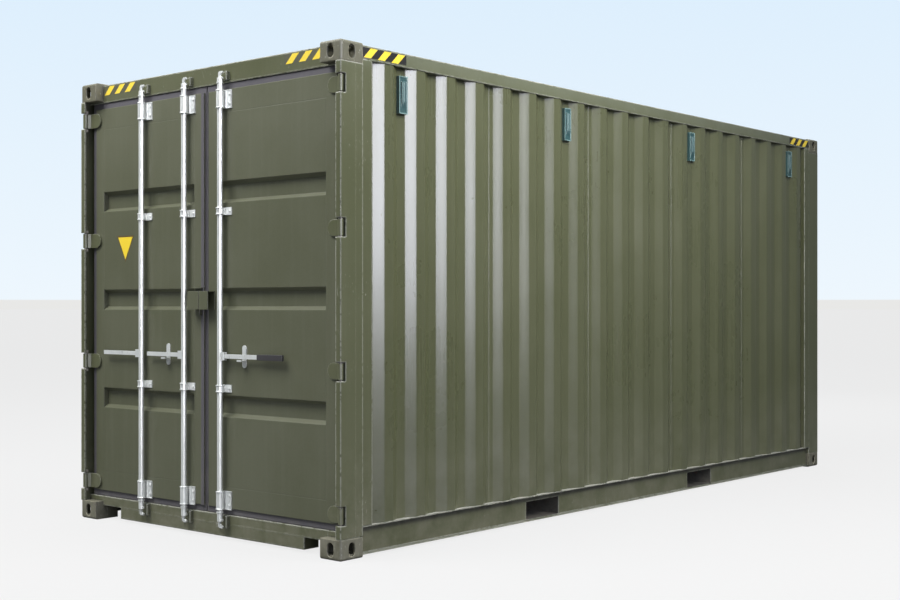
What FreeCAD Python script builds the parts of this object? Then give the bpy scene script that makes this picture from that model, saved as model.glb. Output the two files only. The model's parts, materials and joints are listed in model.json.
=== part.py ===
import FreeCAD, Part
import math
import os
import re
import Sketcher

# Dry-freight shipping container, 20 ft long, high cube.
# Origin: middle of the footprint, on the floor. The doors face -Y, +X is to the right
# of someone facing the doors, +Z is up. All sizes in millimetres.

os.makedirs("parts", exist_ok=True)
doc = FreeCAD.newDocument("shipping_container")
V = FreeCAD.Vector

# ---------------------------------------------------------------- driving sizes
SIZES = {
    # outside, set by the freight-container standard
    "container_length": 6058, "container_width": 2438, "container_height": 2896,
    # corner castings
    "cast_long": 178, "cast_wide": 162, "cast_tall": 118, "cast_wall": 14, "cast_plate": 28,
    "cast_round": 16, "top_slot_long": 124.5, "top_slot_wide": 63.5,
    "side_slot_tall": 79, "side_slot_wide": 51,
    # posts
    "jbar_deep": 113, "jbar_flange": 40, "jbar_wall": 12, "inner_post_wide": 110, "post_wall": 6,
    "wall_stop_wide": 60, "wall_stop_long": 81, "wall_stop_inset": 4, "front_post_inset": 3,
    # end rails
    "end_rail_recess": 62, "header_tall": 116, "roof_line_drop": 12, "rail_wall": 5,
    "sill_top": 152, "sill_step": 90, "sill_low": 19, "recess_inner": 865,
    "front_rail_recess": 10, "front_top_rail_tall": 60,
    # side rails
    "top_rail_inset": 6, "top_rail_wide": 60, "top_rail_tall": 79,
    "bottom_rail_low": 16, "bottom_rail_top": 174, "bottom_rail_inset": 4,
    "bottom_rail_web_inset": 30, "bottom_rail_wall": 4.5, "bottom_rail_lap": 29,
    # corrugated sheets
    "sheet": 3, "wave_pitch": 278, "wave_flat": 72, "wave_slope": 68, "wave_deep": 36,
    "wave_shift": 19,
    "wall_inset": 10, "end_wave_deep": 45, "roof_pitch": 290, "roof_flat": 110,
    "roof_slope": 40, "roof_deep": 20,
    # floor
    "board_thick": 28, "member_flange": 45, "member_wall": 4, "member_low": 30,
    "member_pitch": 285, "pocket_wide": 363, "pocket_low": 24, "pocket_top": 139,
    "pocket_near": -1098, "pocket_far": 967, "pocket_wall": 7,
    # ventilators
    "vent_wide": 66, "vent_tall": 220, "vent_drop": 48, "vent_deep": 30, "vent_base": 3,
    "vent_cover_wide": 76, "vent_taper": 26, "vent_lip": 16,
    # door leaves
    "leaf_edge": 89, "leaf_inner": 17,
    "leaf_face_recess": 59, "leaf_thick": 48, "stile_wide": 85, "stile_inner": 110,
    "door_foot_tall": 128, "door_head_tall": 138, "band_deep": 34, "band_slope": 22,
    "band_tall": 132, "band_first": 618, "band_last": 620,
    # gasket
    "gasket_reach": 40, "gasket_gap": 2, "gasket_front": 10, "gasket_thick": 25,
    "gasket_lip": 18, "seam_gap": 5,
    # hinges
    "pin_inset": 20, "pin_radius": 8, "knuckle_radius": 15.5, "knuckle_tall": 93,
    "pin_clearance": 0.3, "notch_deep": 40, "notch_clearance": 7, "lug_tall": 16,
    "blade_thick": 12, "blade_long": 14, "crank_run": 21,
    "hinge_foot": 58, "hinge_head": 74,
    # locking bars
    "bar_outer": 600, "bar_inner": 171, "bar_stand": 33, "bar_radius": 17,
    "bar_clearance": 0.5, "bar_under": 77, "bar_over": 67, "cam_foot_gap": 2,
    "cam_head_gap": 15, "cam_reach": 26, "cam_thick": 12, "collar_radius": 21, "collar_tall": 9,
    "keeper_gap": 34, "keeper_wide": 12, "keeper_stand": 23, "keeper_plate": 4,
    "sleeve_wall": 5.5, "bracket_plate": 6, "bracket_reach": 72, "bracket_back": 23,
    "bolt_radius": 7, "bolt_head": 6, "long_bracket_tall": 113, "bracket_foot": 8,
    "bracket_head": 4, "guide_tall": 46, "guide_foot": 702, "guide_head": 715,
    # handles
    "handle_height": 1113, "handle_thick": 10, "handle_tall": 26, "handle_pivot": 34,
    "handle_pin": 5, "hub_plate": 6, "hub_gap": 0.5, "hub_tall": 50, "hub_reach": 48,
    "handle_outer_long": 395, "handle_inner_long": 364, "handle_right_long": 549,
    "grip_start": 339, "grip_wall": 4, "catch_at": 360, "catch_wide": 35,
    "catch_tall": 135, "catch_plate": 6, "catch_clearance": 6, "catch_lip": 4,
    # lock box
    "box_left": 105, "box_right": 86, "box_low": 1394, "box_tall": 113, "box_deep": 59,
    "box_wall": 5, "box_seam": 2.5, "hasp_right": 20, "hasp_deep": 24, "hasp_above": 18,
    "hasp_lug": 34,
}

# places that follow from the sizes above, so that what meets keeps meeting
FOLLOWS = {
    "roof_line": "container_height - roof_line_drop",
    "header_low": "roof_line - header_tall", "top_rail_low": "roof_line - top_rail_tall",
    "vent_low": "top_rail_low - vent_drop - vent_tall",
    "leaf_outer": "container_width/2 - leaf_edge", "stile_outer": "leaf_outer - stile_wide",
    "leaf_low": "sill_top + gasket_reach", "leaf_top": "header_low - gasket_reach",
    "door_rail_low": "leaf_low + door_foot_tall", "door_rail_top": "leaf_top - door_head_tall",
    "band_1": "leaf_low + band_first", "band_3": "leaf_top - band_last",
    "band_2": "(band_1 + band_3)/2", "blade_end": "leaf_outer - blade_long",
    "hinge_1": "leaf_low + hinge_foot", "hinge_4": "leaf_top - hinge_head",
    "hinge_2": "(hinge_1*2 + hinge_4)/3", "hinge_3": "(hinge_1 + hinge_4*2)/3",
    "bar_low": "sill_top - bar_under", "bar_high": "header_low + bar_over",
    "cam_neck": "sill_top + cam_foot_gap", "cam_head": "header_low + cam_head_gap",
    "long_bracket_low": "leaf_low - bracket_foot",
    "long_bracket_top": "leaf_top - bracket_head - long_bracket_tall",
    "guide_low": "leaf_low + guide_foot", "guide_top": "leaf_top - guide_head - guide_tall",
    "box_top": "box_low + box_tall",
}

dims = doc.addObject("Spreadsheet::Sheet", "dims")
for row, (name, value) in enumerate(SIZES.items(), 1):
    dims.set("A%d" % row, name)
    dims.set("B%d" % row, str(value))
    dims.setAlias("B%d" % row, name)
doc.recompute()


def full(text):
    """Write a short expression the way the document needs it, with dims. before each name."""
    def one(found):
        name = found.group()
        if name in FOLLOWS:
            return "(%s)" % full(FOLLOWS[name])
        return "dims." + name if name in SIZES else name
    return re.sub(r"[a-z][a-z_0-9]*", one, str(text))


def size(text):
    """The number an expression has now."""
    return float(dims.evalExpression(full(text)))


def bind(obj, prop, text):
    obj.setExpression(prop, full(text))


# ---------------------------------------------------------------- building blocks
def box(label, x, y, z):
    """A block between two x, two y and two z values, each given as an expression."""
    block = doc.addObject("Part::Box", label)
    for side, axis, (low, high) in (("Length", "x", x), ("Width", "y", y), ("Height", "z", z)):
        bind(block, side, "(%s) - (%s)" % (high, low))
        bind(block, "Placement.Base." + axis, low)
    return block


def rod(label, centre, radius, height, along="z"):
    """A cylinder that starts at centre and runs along +z or +y."""
    cylinder = doc.addObject("Part::Cylinder", label)
    if along == "y":
        cylinder.Placement.Rotation = FreeCAD.Rotation(V(1, 0, 0), -90)
    bind(cylinder, "Radius", radius)
    bind(cylinder, "Height", height)
    for axis, text in zip("xyz", centre):
        bind(cylinder, "Placement.Base." + axis, text)
    return cylinder


def fuse(label, pieces):
    joined = doc.addObject("Part::MultiFuse", label)
    joined.Shapes = pieces
    joined.Refine = True
    return joined


def cut(label, base, tools):
    tool = tools[0] if len(tools) == 1 else group(label + "_tools", tools)
    less = doc.addObject("Part::Cut", label)
    less.Base = base
    less.Tool = tool
    return less


def group(label, pieces):
    together = doc.addObject("Part::Compound", label)
    together.Links = pieces
    return together


def mirror(label, piece, normal, base=(0, 0, 0)):
    other = doc.addObject("Part::Mirroring", label)
    other.Source = piece
    other.Normal = V(*normal)
    other.Base = V(*base)
    return other


def swap_side(label, piece):
    """The same piece on the other side of the container."""
    return mirror(label, piece, (1, 0, 0))


def beam(label, plane, outlines, low, high):
    """A body padded from a sketch of closed outlines on one of its own origin planes."""
    body = doc.addObject("PartDesign::Body", label)
    planes = {feature.Role: feature for feature in body.Origin.OriginFeatures}
    sketch = body.newObject("Sketcher::SketchObject", label + "_sketch")
    sketch.AttachmentSupport = (planes[plane + "_Plane"], [""])
    sketch.MapMode = "FlatFace"
    first = 0
    bound = []
    for outline in outlines:
        spots = [V(size(x), size(y), 0) for x, y in outline]
        count = len(spots)
        sketch.addGeometry([Part.LineSegment(spots[i], spots[(i + 1) % count])
                            for i in range(count)], False)
        rules = []
        for i, (x, y) in enumerate(outline):
            rules.append(Sketcher.Constraint("Coincident", first + i, 2,
                                             first + (i + 1) % count, 1))
            for kind, text, value in (("DistanceX", x, spots[i].x), ("DistanceY", y, spots[i].y)):
                rules.append(Sketcher.Constraint(kind, -1, 1, first + i, 1, value))
                bound.append((len(sketch.Constraints) + len(rules) - 1, text))
        sketch.addConstraint(rules)
        first += count
    for index, text in bound:
        bind(sketch, "Constraints[%d]" % index, text)
    start = "-(%s)" % high if plane == "XZ" else low
    bind(sketch, "AttachmentOffset.Base.z", start)
    pad = body.newObject("PartDesign::Pad", label + "_pad")
    pad.Profile = sketch
    bind(pad, "Length", "(%s) - (%s)" % (high, low))
    sketch.Visibility = False
    return body


def rectangle(x, y):
    return [(x[0], y[0]), (x[1], y[0]), (x[1], y[1]), (x[0], y[1])]


def wave_line(count, pitch, flat, slope, deep, low, high, shift=0):
    """The corners of a trapezoid wave: raised flats at 0, valleys at -deep, centred on shift."""
    line = [(low, -deep)]
    for i in range(count):
        middle = (i - (count - 1) / 2) * pitch + shift
        line += [(middle - flat / 2 - slope, -deep), (middle - flat / 2, 0),
                 (middle + flat / 2, 0), (middle + flat / 2 + slope, -deep)]
    return line + [(high, -deep)]


def sheet_solid(line, place, sweep):
    """A folded sheet: the wave line, the same line one thickness behind it, and a sweep."""
    thick = size("sheet")
    ring = [place(s, d) for s, d in line] + [place(s, d - thick) for s, d in reversed(line)]
    return Part.Face(Part.makePolygon(ring + ring[:1])).extrude(sweep)


def feature(label, shape):
    item = doc.addObject("Part::Feature", label)
    item.Shape = shape
    return item


# ---------------------------------------------------------------- shared places
side = "(container_width/2)"
door_end = "(-container_length/2)"
far_end = "(container_length/2)"
cast_in_x = "(container_width/2 - cast_wide)"
cast_in_y = "(container_length/2 - cast_long)"
cast_top_z = "(container_height - cast_tall)"
end_face = "(end_rail_recess - container_length/2)"
post_back = "(jbar_deep - container_length/2)"
leaf_face = "(leaf_face_recess - container_length/2)"
leaf_back = "(leaf_face_recess + leaf_thick - container_length/2)"
wall_face = "(container_width/2 - wall_inset)"
web_face = "(container_width/2 - bottom_rail_web_inset)"
pin_x = "(container_width/2 - pin_inset)"
pin_y = "(pin_inset - container_length/2)"
bar_y = "(leaf_face_recess - bar_stand - container_length/2)"
hinges = ["hinge_%d" % n for n in (1, 2, 3, 4)]
exported = {}


def keep(piece):
    exported[piece.Label] = piece
    return piece


# ---------------------------------------------------------------- corner castings
shell = box("casting_block", (cast_in_x, side), (door_end, "-" + cast_in_y), (0, "cast_tall"))
doc.recompute()
rounded = doc.addObject("Part::Fillet", "casting_rounded")
rounded.Base = shell
r = size("cast_round")
rounded.Edges = [(n, r, r) for n in (5, 8, 9)]
hollow = box("casting_hollow", (cast_in_x + " + cast_wall", side + " - cast_wall"),
             (door_end + " + cast_wall", "-%s - cast_wall" % cast_in_y),
             ("cast_plate", "cast_tall - cast_wall"))


def slot(label, plane, long, wide, centre, low, high):
    """A straight-sided hole with round ends, its long way along the sketch's own y axis."""
    body = doc.addObject("PartDesign::Body", label)
    planes = {feature.Role: feature for feature in body.Origin.OriginFeatures}
    sketch = body.newObject("Sketcher::SketchObject", label + "_sketch")
    sketch.AttachmentSupport = (planes[plane + "_Plane"], [""])
    sketch.MapMode = "FlatFace"
    half, rad = size(long) / 2 - size(wide) / 2, size(wide) / 2
    sketch.addGeometry([
        Part.ArcOfCircle(Part.Circle(V(0, half, 0), V(0, 0, 1), rad), 0, math.pi),
        Part.LineSegment(V(-rad, half, 0), V(-rad, -half, 0)),
        Part.ArcOfCircle(Part.Circle(V(0, -half, 0), V(0, 0, 1), rad), math.pi, 2 * math.pi),
        Part.LineSegment(V(rad, -half, 0), V(rad, half, 0))], False)
    add, rule = sketch.addConstraint, Sketcher.Constraint
    for a, b in ((0, 1), (1, 2), (2, 3), (3, 0)):
        add(rule("Tangent", a, 2, b, 1))
    add(rule("Vertical", 1))
    add(rule("PointOnObject", 0, 3, -2))
    add(rule("Symmetric", 0, 3, 2, 3, -1, 1))
    bind(sketch, "Constraints[%d]" % add(rule("Radius", 0, rad)), wide + "/2")
    bind(sketch, "Constraints[%d]" % add(rule("DistanceY", 2, 3, 0, 3, 2 * half)),
         "%s - %s" % (long, wide))
    for axis, text in zip("xyz", centre):
        bind(sketch, "AttachmentOffset.Base." + axis, text)
    pad = body.newObject("PartDesign::Pad", label + "_pad")
    pad.Profile = sketch
    bind(pad, "Length", "(%s) - (%s)" % (high, low))
    return body


mid_x, mid_y = "(%s - cast_wide/2)" % side, "(%s + cast_long/2)" % door_end
slots = [
    slot("casting_end_slot", "XZ", "side_slot_tall", "side_slot_wide",
         (mid_x, "cast_tall/2", "-(%s + cast_wall + 5)" % door_end), 0, "cast_wall + 10"),
    slot("casting_side_slot", "YZ", "side_slot_tall", "side_slot_wide",
         (mid_y, "cast_tall/2", side + " - cast_wall - 5"), 0, "cast_wall + 10"),
    slot("casting_flat_slot", "XY", "top_slot_long", "top_slot_wide",
         (mid_x, mid_y, "-5"), 0, "cast_plate + 10"),
]
casting = cut("casting_one", rounded, [hollow] + slots)
casting_far = mirror("casting_far", casting, (0, 1, 0))
pair = group("castings_right", [casting, casting_far])
keep(group("corner_castings_bottom", [pair, swap_side("castings_left", pair)]))
flip = mirror("castings_flipped", exported["corner_castings_bottom"], (0, 0, 1))
top_set = group("corner_castings_top", [flip])
bind(top_set, "Placement.Base.z", "container_height")
keep(top_set)

# ---------------------------------------------------------------- posts
jbar = beam("jbar", "XY", [[
    (side, door_end), (side, post_back), (side + " - jbar_flange", post_back),
    (side + " - jbar_flange", post_back + " - jbar_wall"),
    (side + " - jbar_wall", post_back + " - jbar_wall"),
    (side + " - jbar_wall", door_end + " + jbar_wall"),
    (side + " - jbar_flange", door_end + " + jbar_wall"),
    (side + " - jbar_flange", door_end)]], "cast_tall", cast_top_z)
notches = [box("hinge_notch_%d" % n, (side + " - jbar_flange - 1", side + " + 1"),
               (door_end + " - 1", door_end + " + notch_deep"),
               (z + " - knuckle_tall/2 - notch_clearance", z + " + knuckle_tall/2 + notch_clearance"))
           for n, z in enumerate(hinges, 1)]
inner = beam("inner_post", "XY", [
    rectangle((side + " - inner_post_wide", side), (post_back, "-" + cast_in_y)),
    rectangle((side + " - inner_post_wide + post_wall", side + " - post_wall"),
              (post_back + " + post_wall", "-%s - post_wall" % cast_in_y))],
    "cast_tall", cast_top_z)
stop = box("wall_stop", (side + " - wall_stop_wide", side + " - wall_stop_inset"),
           ("-" + cast_in_y, "-%s + wall_stop_long" % cast_in_y),
           ("bottom_rail_top", "top_rail_low"))
keep(fuse("door_post_right", [cut("jbar_notched", jbar, notches), inner, stop]))
keep(swap_side("door_post_left", exported["door_post_right"]))

front = beam("front_post_tube", "XY", [
    rectangle((cast_in_x, side + " - front_post_inset"),
              (cast_in_y, far_end + " - front_post_inset")),
    rectangle((cast_in_x + " + post_wall", side + " - front_post_inset - post_wall"),
              (cast_in_y + " + post_wall", far_end + " - front_post_inset - post_wall"))],
    "cast_tall", cast_top_z)
front_stop = box("front_wall_stop", (side + " - wall_stop_wide", side + " - wall_stop_inset"),
                 (cast_in_y + " - wall_stop_long", cast_in_y),
                 ("bottom_rail_top", "top_rail_low"))
keep(fuse("front_post_right", [front, front_stop]))
keep(swap_side("front_post_left", exported["front_post_right"]))

# ---------------------------------------------------------------- end rails
across = ("-" + cast_in_x, cast_in_x)


def tube_rail(label, y, z):
    """A hollow rail across the container between the corner castings."""
    return beam(label, "YZ", [
        rectangle(y, z),
        rectangle((y[0] + " + rail_wall", y[1] + " - rail_wall"),
                  (z[0] + " + rail_wall", z[1] + " - rail_wall"))], *across)


def shoulders(label, z):
    """The blocks that carry an end rail on past the castings, into the hollow of each post."""
    blocks = [box(label + "_root", (cast_in_x, side + " - jbar_wall"),
                  (end_face, post_back + " - jbar_wall"), z),
              box(label + "_web", (cast_in_x, side + " - jbar_flange"),
                  (post_back + " - jbar_wall", post_back), z)]
    one = fuse(label, blocks)
    return [one, swap_side(label + "_left", one)]


header = tube_rail("header_tube", (end_face, "-" + cast_in_y), ("header_low", "roof_line"))
keep(fuse("door_header", [header] + shoulders("header_shoulder", ("header_low", cast_top_z))))
front_y = (cast_in_y, far_end + " - front_rail_recess")
keep(tube_rail("front_top_rail", front_y, ("roof_line - front_top_rail_tall", "roof_line")))
keep(tube_rail("front_bottom_rail", front_y, ("bottom_rail_low", "bottom_rail_top")))

sill_y = (end_face, "-" + cast_in_y)
inboard = ("-recess_inner", "recess_inner")
sill = [
    tube_rail("sill_upper", sill_y, ("sill_step", "sill_top")),
    box("sill_face", inboard, (end_face, end_face + " + rail_wall"), ("sill_low", "sill_step")),
    box("sill_foot", inboard, sill_y, ("sill_low", "sill_low + rail_wall")),
]
for name, x in (("left", ("-recess_inner", "-recess_inner + rail_wall")),
                ("right", ("recess_inner - rail_wall", "recess_inner"))):
    sill.append(box("sill_end_" + name, x, sill_y, ("sill_low", "sill_step")))
keep(fuse("door_sill", sill + shoulders("sill_shoulder", ("cast_tall", "sill_top"))))

# ---------------------------------------------------------------- side rails
rail_out = side + " - top_rail_inset"
keep(beam("top_side_rail_right", "XZ", [
    rectangle((rail_out + " - top_rail_wide", rail_out), ("top_rail_low", "roof_line")),
    rectangle((rail_out + " - top_rail_wide + rail_wall", rail_out + " - rail_wall"),
              ("top_rail_low + rail_wall", "roof_line - rail_wall"))],
    "-" + cast_in_y, cast_in_y))
keep(swap_side("top_side_rail_left", exported["top_side_rail_right"]))

lip_out = side + " - bottom_rail_inset"
web_in = web_face + " - bottom_rail_wall"
floor_edge = web_face + " - bottom_rail_lap"
low_rail = beam("bottom_rail_section", "XZ", [[
    (web_in, "bottom_rail_low"), (lip_out, "bottom_rail_low"),
    (lip_out, "bottom_rail_low + bottom_rail_wall"),
    (web_face, "bottom_rail_low + bottom_rail_wall"),
    (web_face, "bottom_rail_top - bottom_rail_wall"),
    (lip_out, "bottom_rail_top - bottom_rail_wall"), (lip_out, "bottom_rail_top"),
    (floor_edge, "bottom_rail_top"), (floor_edge, "bottom_rail_top - bottom_rail_wall"),
    (web_in, "bottom_rail_top - bottom_rail_wall")]], "-" + cast_in_y, cast_in_y)
pockets = {"near": "pocket_near", "far": "pocket_far"}
pocket_cuts = [box("pocket_cut_" + n, (web_in + " - 1", web_face + " + 1"),
                   (y + " - pocket_wide/2", y + " + pocket_wide/2"), ("pocket_low", "pocket_top"))
               for n, y in pockets.items()]
keep(cut("bottom_side_rail_right", low_rail, pocket_cuts))
keep(swap_side("bottom_side_rail_left", exported["bottom_side_rail_right"]))

# ---------------------------------------------------------------- corrugated sheets
wave = [size(name) for name in ("wave_pitch", "wave_flat", "wave_slope", "wave_deep")]
pitch, flat, slope, deep = wave
reach = size(cast_in_y + " - wall_stop_long")
wave_shift = size("wave_shift")
# an even count, so that a valley falls on the middle and on every ventilator
waves = 2 * int(((2 * (reach - wave_shift) - flat - 2 * slope) / pitch + 1) // 2)
wall_low, wall_high = size("bottom_rail_top"), size("top_rail_low")
outer = size(wall_face)
side_line = wave_line(waves, pitch, flat, slope, deep, -reach, reach, wave_shift)
keep(feature("side_wall_right", sheet_solid(
    side_line, lambda s, d: V(outer + d, s, wall_low), V(0, 0, wall_high - wall_low))))
keep(swap_side("side_wall_left", exported["side_wall_right"]))

half = size(cast_in_x)
end_deep = size("end_wave_deep")
front_top = size("roof_line - front_top_rail_tall")
front_plane = size(far_end + " - front_rail_recess")
front_line = wave_line(int((2 * half - 60) // pitch), pitch, flat, slope, end_deep, -half, half)
keep(feature("front_wall", sheet_solid(
    front_line, lambda s, d: V(s, front_plane + d, wall_low), V(0, 0, front_top - wall_low))))

roof_half = size(rail_out + " - top_rail_wide")
roof_reach = size(cast_in_y)
roof_pitch = size("roof_pitch")
roof_line_points = wave_line(int((2 * roof_reach - 60) // roof_pitch), roof_pitch,
                             size("roof_flat"), size("roof_slope"), size("roof_deep"),
                             -roof_reach, roof_reach)
roof_z = size("roof_line")
keep(feature("roof_panel", sheet_solid(
    roof_line_points, lambda s, d: V(-roof_half, s, roof_z + d), V(2 * roof_half, 0, 0))))

# ---------------------------------------------------------------- floor
board_low = "bottom_rail_top - board_thick"
keep(box("floor_boards", ("-(%s)" % floor_edge, floor_edge), ("-" + cast_in_y, cast_in_y),
         (board_low, "bottom_rail_top")))

member = beam("cross_member", "YZ", [[
    (0, "member_low"), ("member_flange", "member_low"),
    ("member_flange", "member_low + member_wall"), ("member_wall", "member_low + member_wall"),
    ("member_wall", board_low + " - member_wall"), ("member_flange", board_low + " - member_wall"),
    ("member_flange", board_low), (0, board_low)]], "-(%s)" % web_in, web_in)
doc.recompute()
member_pitch, flange = size("member_pitch"), size("member_flange")
spots = [i * member_pitch for i in range(-40, 41)]
keep_out = [(size(y) - size("pocket_wide") / 2 - size("pocket_wall"),
             size(y) + size("pocket_wide") / 2 + size("pocket_wall")) for y in pockets.values()]
spots = [y for y in spots if abs(y) < size(cast_in_y) - flange - 20
         and all(y > b + 3 or y + flange < a - 3 for a, b in keep_out)]
copies = []
for y in spots:
    one = member.Shape.copy()
    one.translate(V(0, y, 0))
    copies.append(one)
keep(feature("cross_members", Part.makeCompound(copies)))

tunnels = []
for n, y in pockets.items():
    low_y, high_y = y + " - pocket_wide/2", y + " + pocket_wide/2"
    tunnels.append(beam("pocket_tube_" + n, "YZ", [
        rectangle((low_y + " - pocket_wall", high_y + " + pocket_wall"),
                  ("bottom_rail_low", board_low)),
        rectangle((low_y, high_y), ("pocket_low", "pocket_top"))], "-(%s)" % web_in, web_in))
keep(group("fork_pockets", tunnels))

# ---------------------------------------------------------------- ventilators
vent_face = wall_face + " - wave_deep"
vent_top = "vent_low + vent_tall"
vents = []
for n, share in enumerate((-9, -3, 3, 9), 1):
    y = "(wave_pitch*%d + wave_shift)" % share
    cover = beam("vent_cover_%d" % n, "XZ", [[
        (vent_face + " + vent_base", "vent_low + 4"), (vent_face + " + vent_base + 8", "vent_low + 4"),
        (vent_face + " + vent_deep", "vent_low + vent_taper"),
        (vent_face + " + vent_deep", vent_top + " - vent_lip"),
        (vent_face + " + vent_deep - 10", vent_top + " - vent_lip + 12"),
        (vent_face + " + vent_base", vent_top + " - vent_lip + 12")]],
        y + " - vent_cover_wide/2", y + " + vent_cover_wide/2")
    base = box("vent_base_%d" % n, (vent_face, vent_face + " + vent_base"),
               (y + " - vent_wide/2", y + " + vent_wide/2"), ("vent_low", vent_top))
    vents.append(fuse("vent_%d" % n, [base, cover]))
keep(group("vents_right", vents))
keep(swap_side("vents_left", exported["vents_right"]))

# ---------------------------------------------------------------- hinge pins
pins = []
for n, z in enumerate(hinges, 1):
    half_tall = "knuckle_tall/2 + notch_clearance"
    pin = rod("pin_%d" % n, (pin_x, pin_y, "%s - (%s) - lug_tall" % (z, half_tall)),
              "pin_radius", "2*(%s + lug_tall)" % half_tall)
    lugs = [box("lug_%s_%d" % (name, n), (pin_x + " - 13", side + " - jbar_wall"),
                (door_end + " + jbar_wall", pin_y + " + 13"), ends)
            for name, ends in (
                ("under", ("%s - (%s) - lug_tall" % (z, half_tall), "%s - (%s)" % (z, half_tall))),
                ("over", ("%s + %s" % (z, half_tall), "%s + %s + lug_tall" % (z, half_tall))))]
    pins.append(fuse("pin_set_%d" % n, [pin] + lugs))
right_pins = group("pins_right", pins)
keep(group("hinge_pins", [right_pins, swap_side("pins_left", right_pins)]))

# ---------------------------------------------------------------- door leaves
leaf_plate = box("leaf_block", ("leaf_inner", "leaf_outer"), (leaf_face, leaf_back),
                 ("leaf_low", "leaf_top"))
leaf_opening = box("leaf_opening", ("stile_inner", "stile_outer"),
                   (leaf_face + " - 1", leaf_back + " + 1"), ("door_rail_low", "door_rail_top"))
keep(cut("door_right_frame", leaf_plate, [leaf_opening]))
keep(swap_side("door_left_frame", exported["door_right_frame"]))

band_half, band_slope, band_deep = (size(n) for n in ("band_tall/2", "band_slope", "band_deep"))
panel_line = [(size("door_rail_low"), 0)]
for z in (size("band_1"), size("band_2"), size("band_3")):
    panel_line += [(z - band_half, 0), (z - band_half + band_slope, -band_deep),
                   (z + band_half - band_slope, -band_deep), (z + band_half, 0)]
panel_line.append((size("door_rail_top"), 0))
face_y, stile_in, stile_out = size(leaf_face), size("stile_inner"), size("stile_outer")
keep(feature("door_right_panel", sheet_solid(
    panel_line, lambda s, d: V(stile_in, face_y - d, s), V(stile_out - stile_in, 0, 0))))
keep(swap_side("door_left_panel", exported["door_right_panel"]))

seal_x = ("seam_gap", "leaf_outer + gasket_reach")
seal_z = ("leaf_low - gasket_reach + gasket_gap", "leaf_top + gasket_reach - gasket_gap")
seal_front = leaf_face + " + gasket_front"
seal_back = seal_front + " + gasket_thick"
ring = cut("gasket_ring", box("gasket_block", seal_x, (seal_front, seal_back), seal_z), [
    box("gasket_opening", ("leaf_inner", "leaf_outer"), (seal_front + " - 1", seal_back + " + 1"),
        ("leaf_low", "leaf_top"))])
lip_y = (seal_back, seal_back + " + gasket_lip")
lips = [box("gasket_lip_side", ("leaf_outer", seal_x[1]), lip_y, seal_z),
        box("gasket_lip_low", ("stile_inner", "leaf_outer"), lip_y, (seal_z[0], "leaf_low")),
        box("gasket_lip_top", ("stile_inner", "leaf_outer"), lip_y, ("leaf_top", seal_z[1]))]
keep(fuse("door_right_gasket", [ring] + lips))
keep(swap_side("door_left_gasket", exported["door_right_gasket"]))

# hinge blades: a flat on the leaf, a crank back from the pin, and the knuckle round it
blades = []
for n, z in enumerate(hinges, 1):
    low, high = z + " - knuckle_tall/2", z + " + knuckle_tall/2"
    blade_front = leaf_face + " - blade_thick"
    link = beam("hinge_link_%d" % n, "XY", [[
        ("blade_end", blade_front), (pin_x + " - crank_run - blade_thick*0.25", blade_front),
        (pin_x + " - blade_thick*0.42", pin_y + " - blade_thick*0.27"),
        (pin_x + " + blade_thick*0.42", pin_y + " + blade_thick*0.27"),
        (pin_x + " - crank_run + blade_thick*0.25", leaf_face),
        ("blade_end", leaf_face)]], low, high)
    tip = rod("hinge_tip_%d" % n, ("blade_end", blade_front, z), "knuckle_tall/2",
              "blade_thick", "y")
    knuckle = rod("hinge_barrel_%d" % n, (pin_x, pin_y, low), "knuckle_radius", "knuckle_tall")
    bore = rod("hinge_bore_%d" % n, (pin_x, pin_y, low + " - 1"), "pin_radius + pin_clearance",
               "knuckle_tall + 2")
    blades.append(cut("hinge_blade_%d" % n, fuse("hinge_solid_%d" % n, [link, tip, knuckle]),
                      [bore]))
keep(group("door_right_hinges", blades))
keep(swap_side("door_left_hinges", exported["door_right_hinges"]))


# ---------------------------------------------------------------- locking bars
def bracket(label, bar_x, low, tall, bolts):
    """A sleeve round a bar on a pedestal and a bolted plate that reaches to the bar's right."""
    top = "%s + %s" % (low, tall)
    plate_y = (leaf_face + " - bracket_plate", leaf_face)
    parts = [
        rod(label + "_sleeve", (bar_x, bar_y, low), "bar_radius + bar_clearance + sleeve_wall",
            tall),
        box(label + "_foot", (bar_x + " - bar_radius", bar_x + " + bar_radius"),
            (bar_y, leaf_face), (low, top)),
        box(label + "_plate", (bar_x + " - bracket_back", bar_x + " + bracket_reach"),
            plate_y, (low, top)),
    ]
    for i in range(bolts):
        x = bar_x + " + bracket_reach - 2*bolt_radius - 2"
        z = "%s + (%s)*%s" % (low, tall, (i + 0.5) / bolts if bolts > 1 else 0.5)
        parts.append(rod("%s_bolt_%d" % (label, i), (x, plate_y[0] + " - bolt_head", z),
                         "bolt_radius", "bolt_head", "y"))
    bore = rod(label + "_bore", (bar_x, bar_y, low + " - 1"), "bar_radius + bar_clearance",
               tall + " + 2")
    return cut(label, fuse(label + "_solid", parts), [bore])


def bar_brackets(label, bars):
    rows = (("low", "long_bracket_low", "long_bracket_tall", 2),
            ("top", "long_bracket_top", "long_bracket_tall", 2),
            ("guide_low", "guide_low", "guide_tall", 1), ("guide_top", "guide_top", "guide_tall", 1))
    return keep(group(label, [bracket("%s_%s_%s" % (label, name, row), x, low, tall, bolts)
                              for name, x in bars for row, low, tall, bolts in rows]))


bar_brackets("door_left_bar_brackets", [("a", "-bar_outer"), ("b", "-bar_inner")])
bar_brackets("door_right_bar_brackets", [("c", "bar_inner")])


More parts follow.
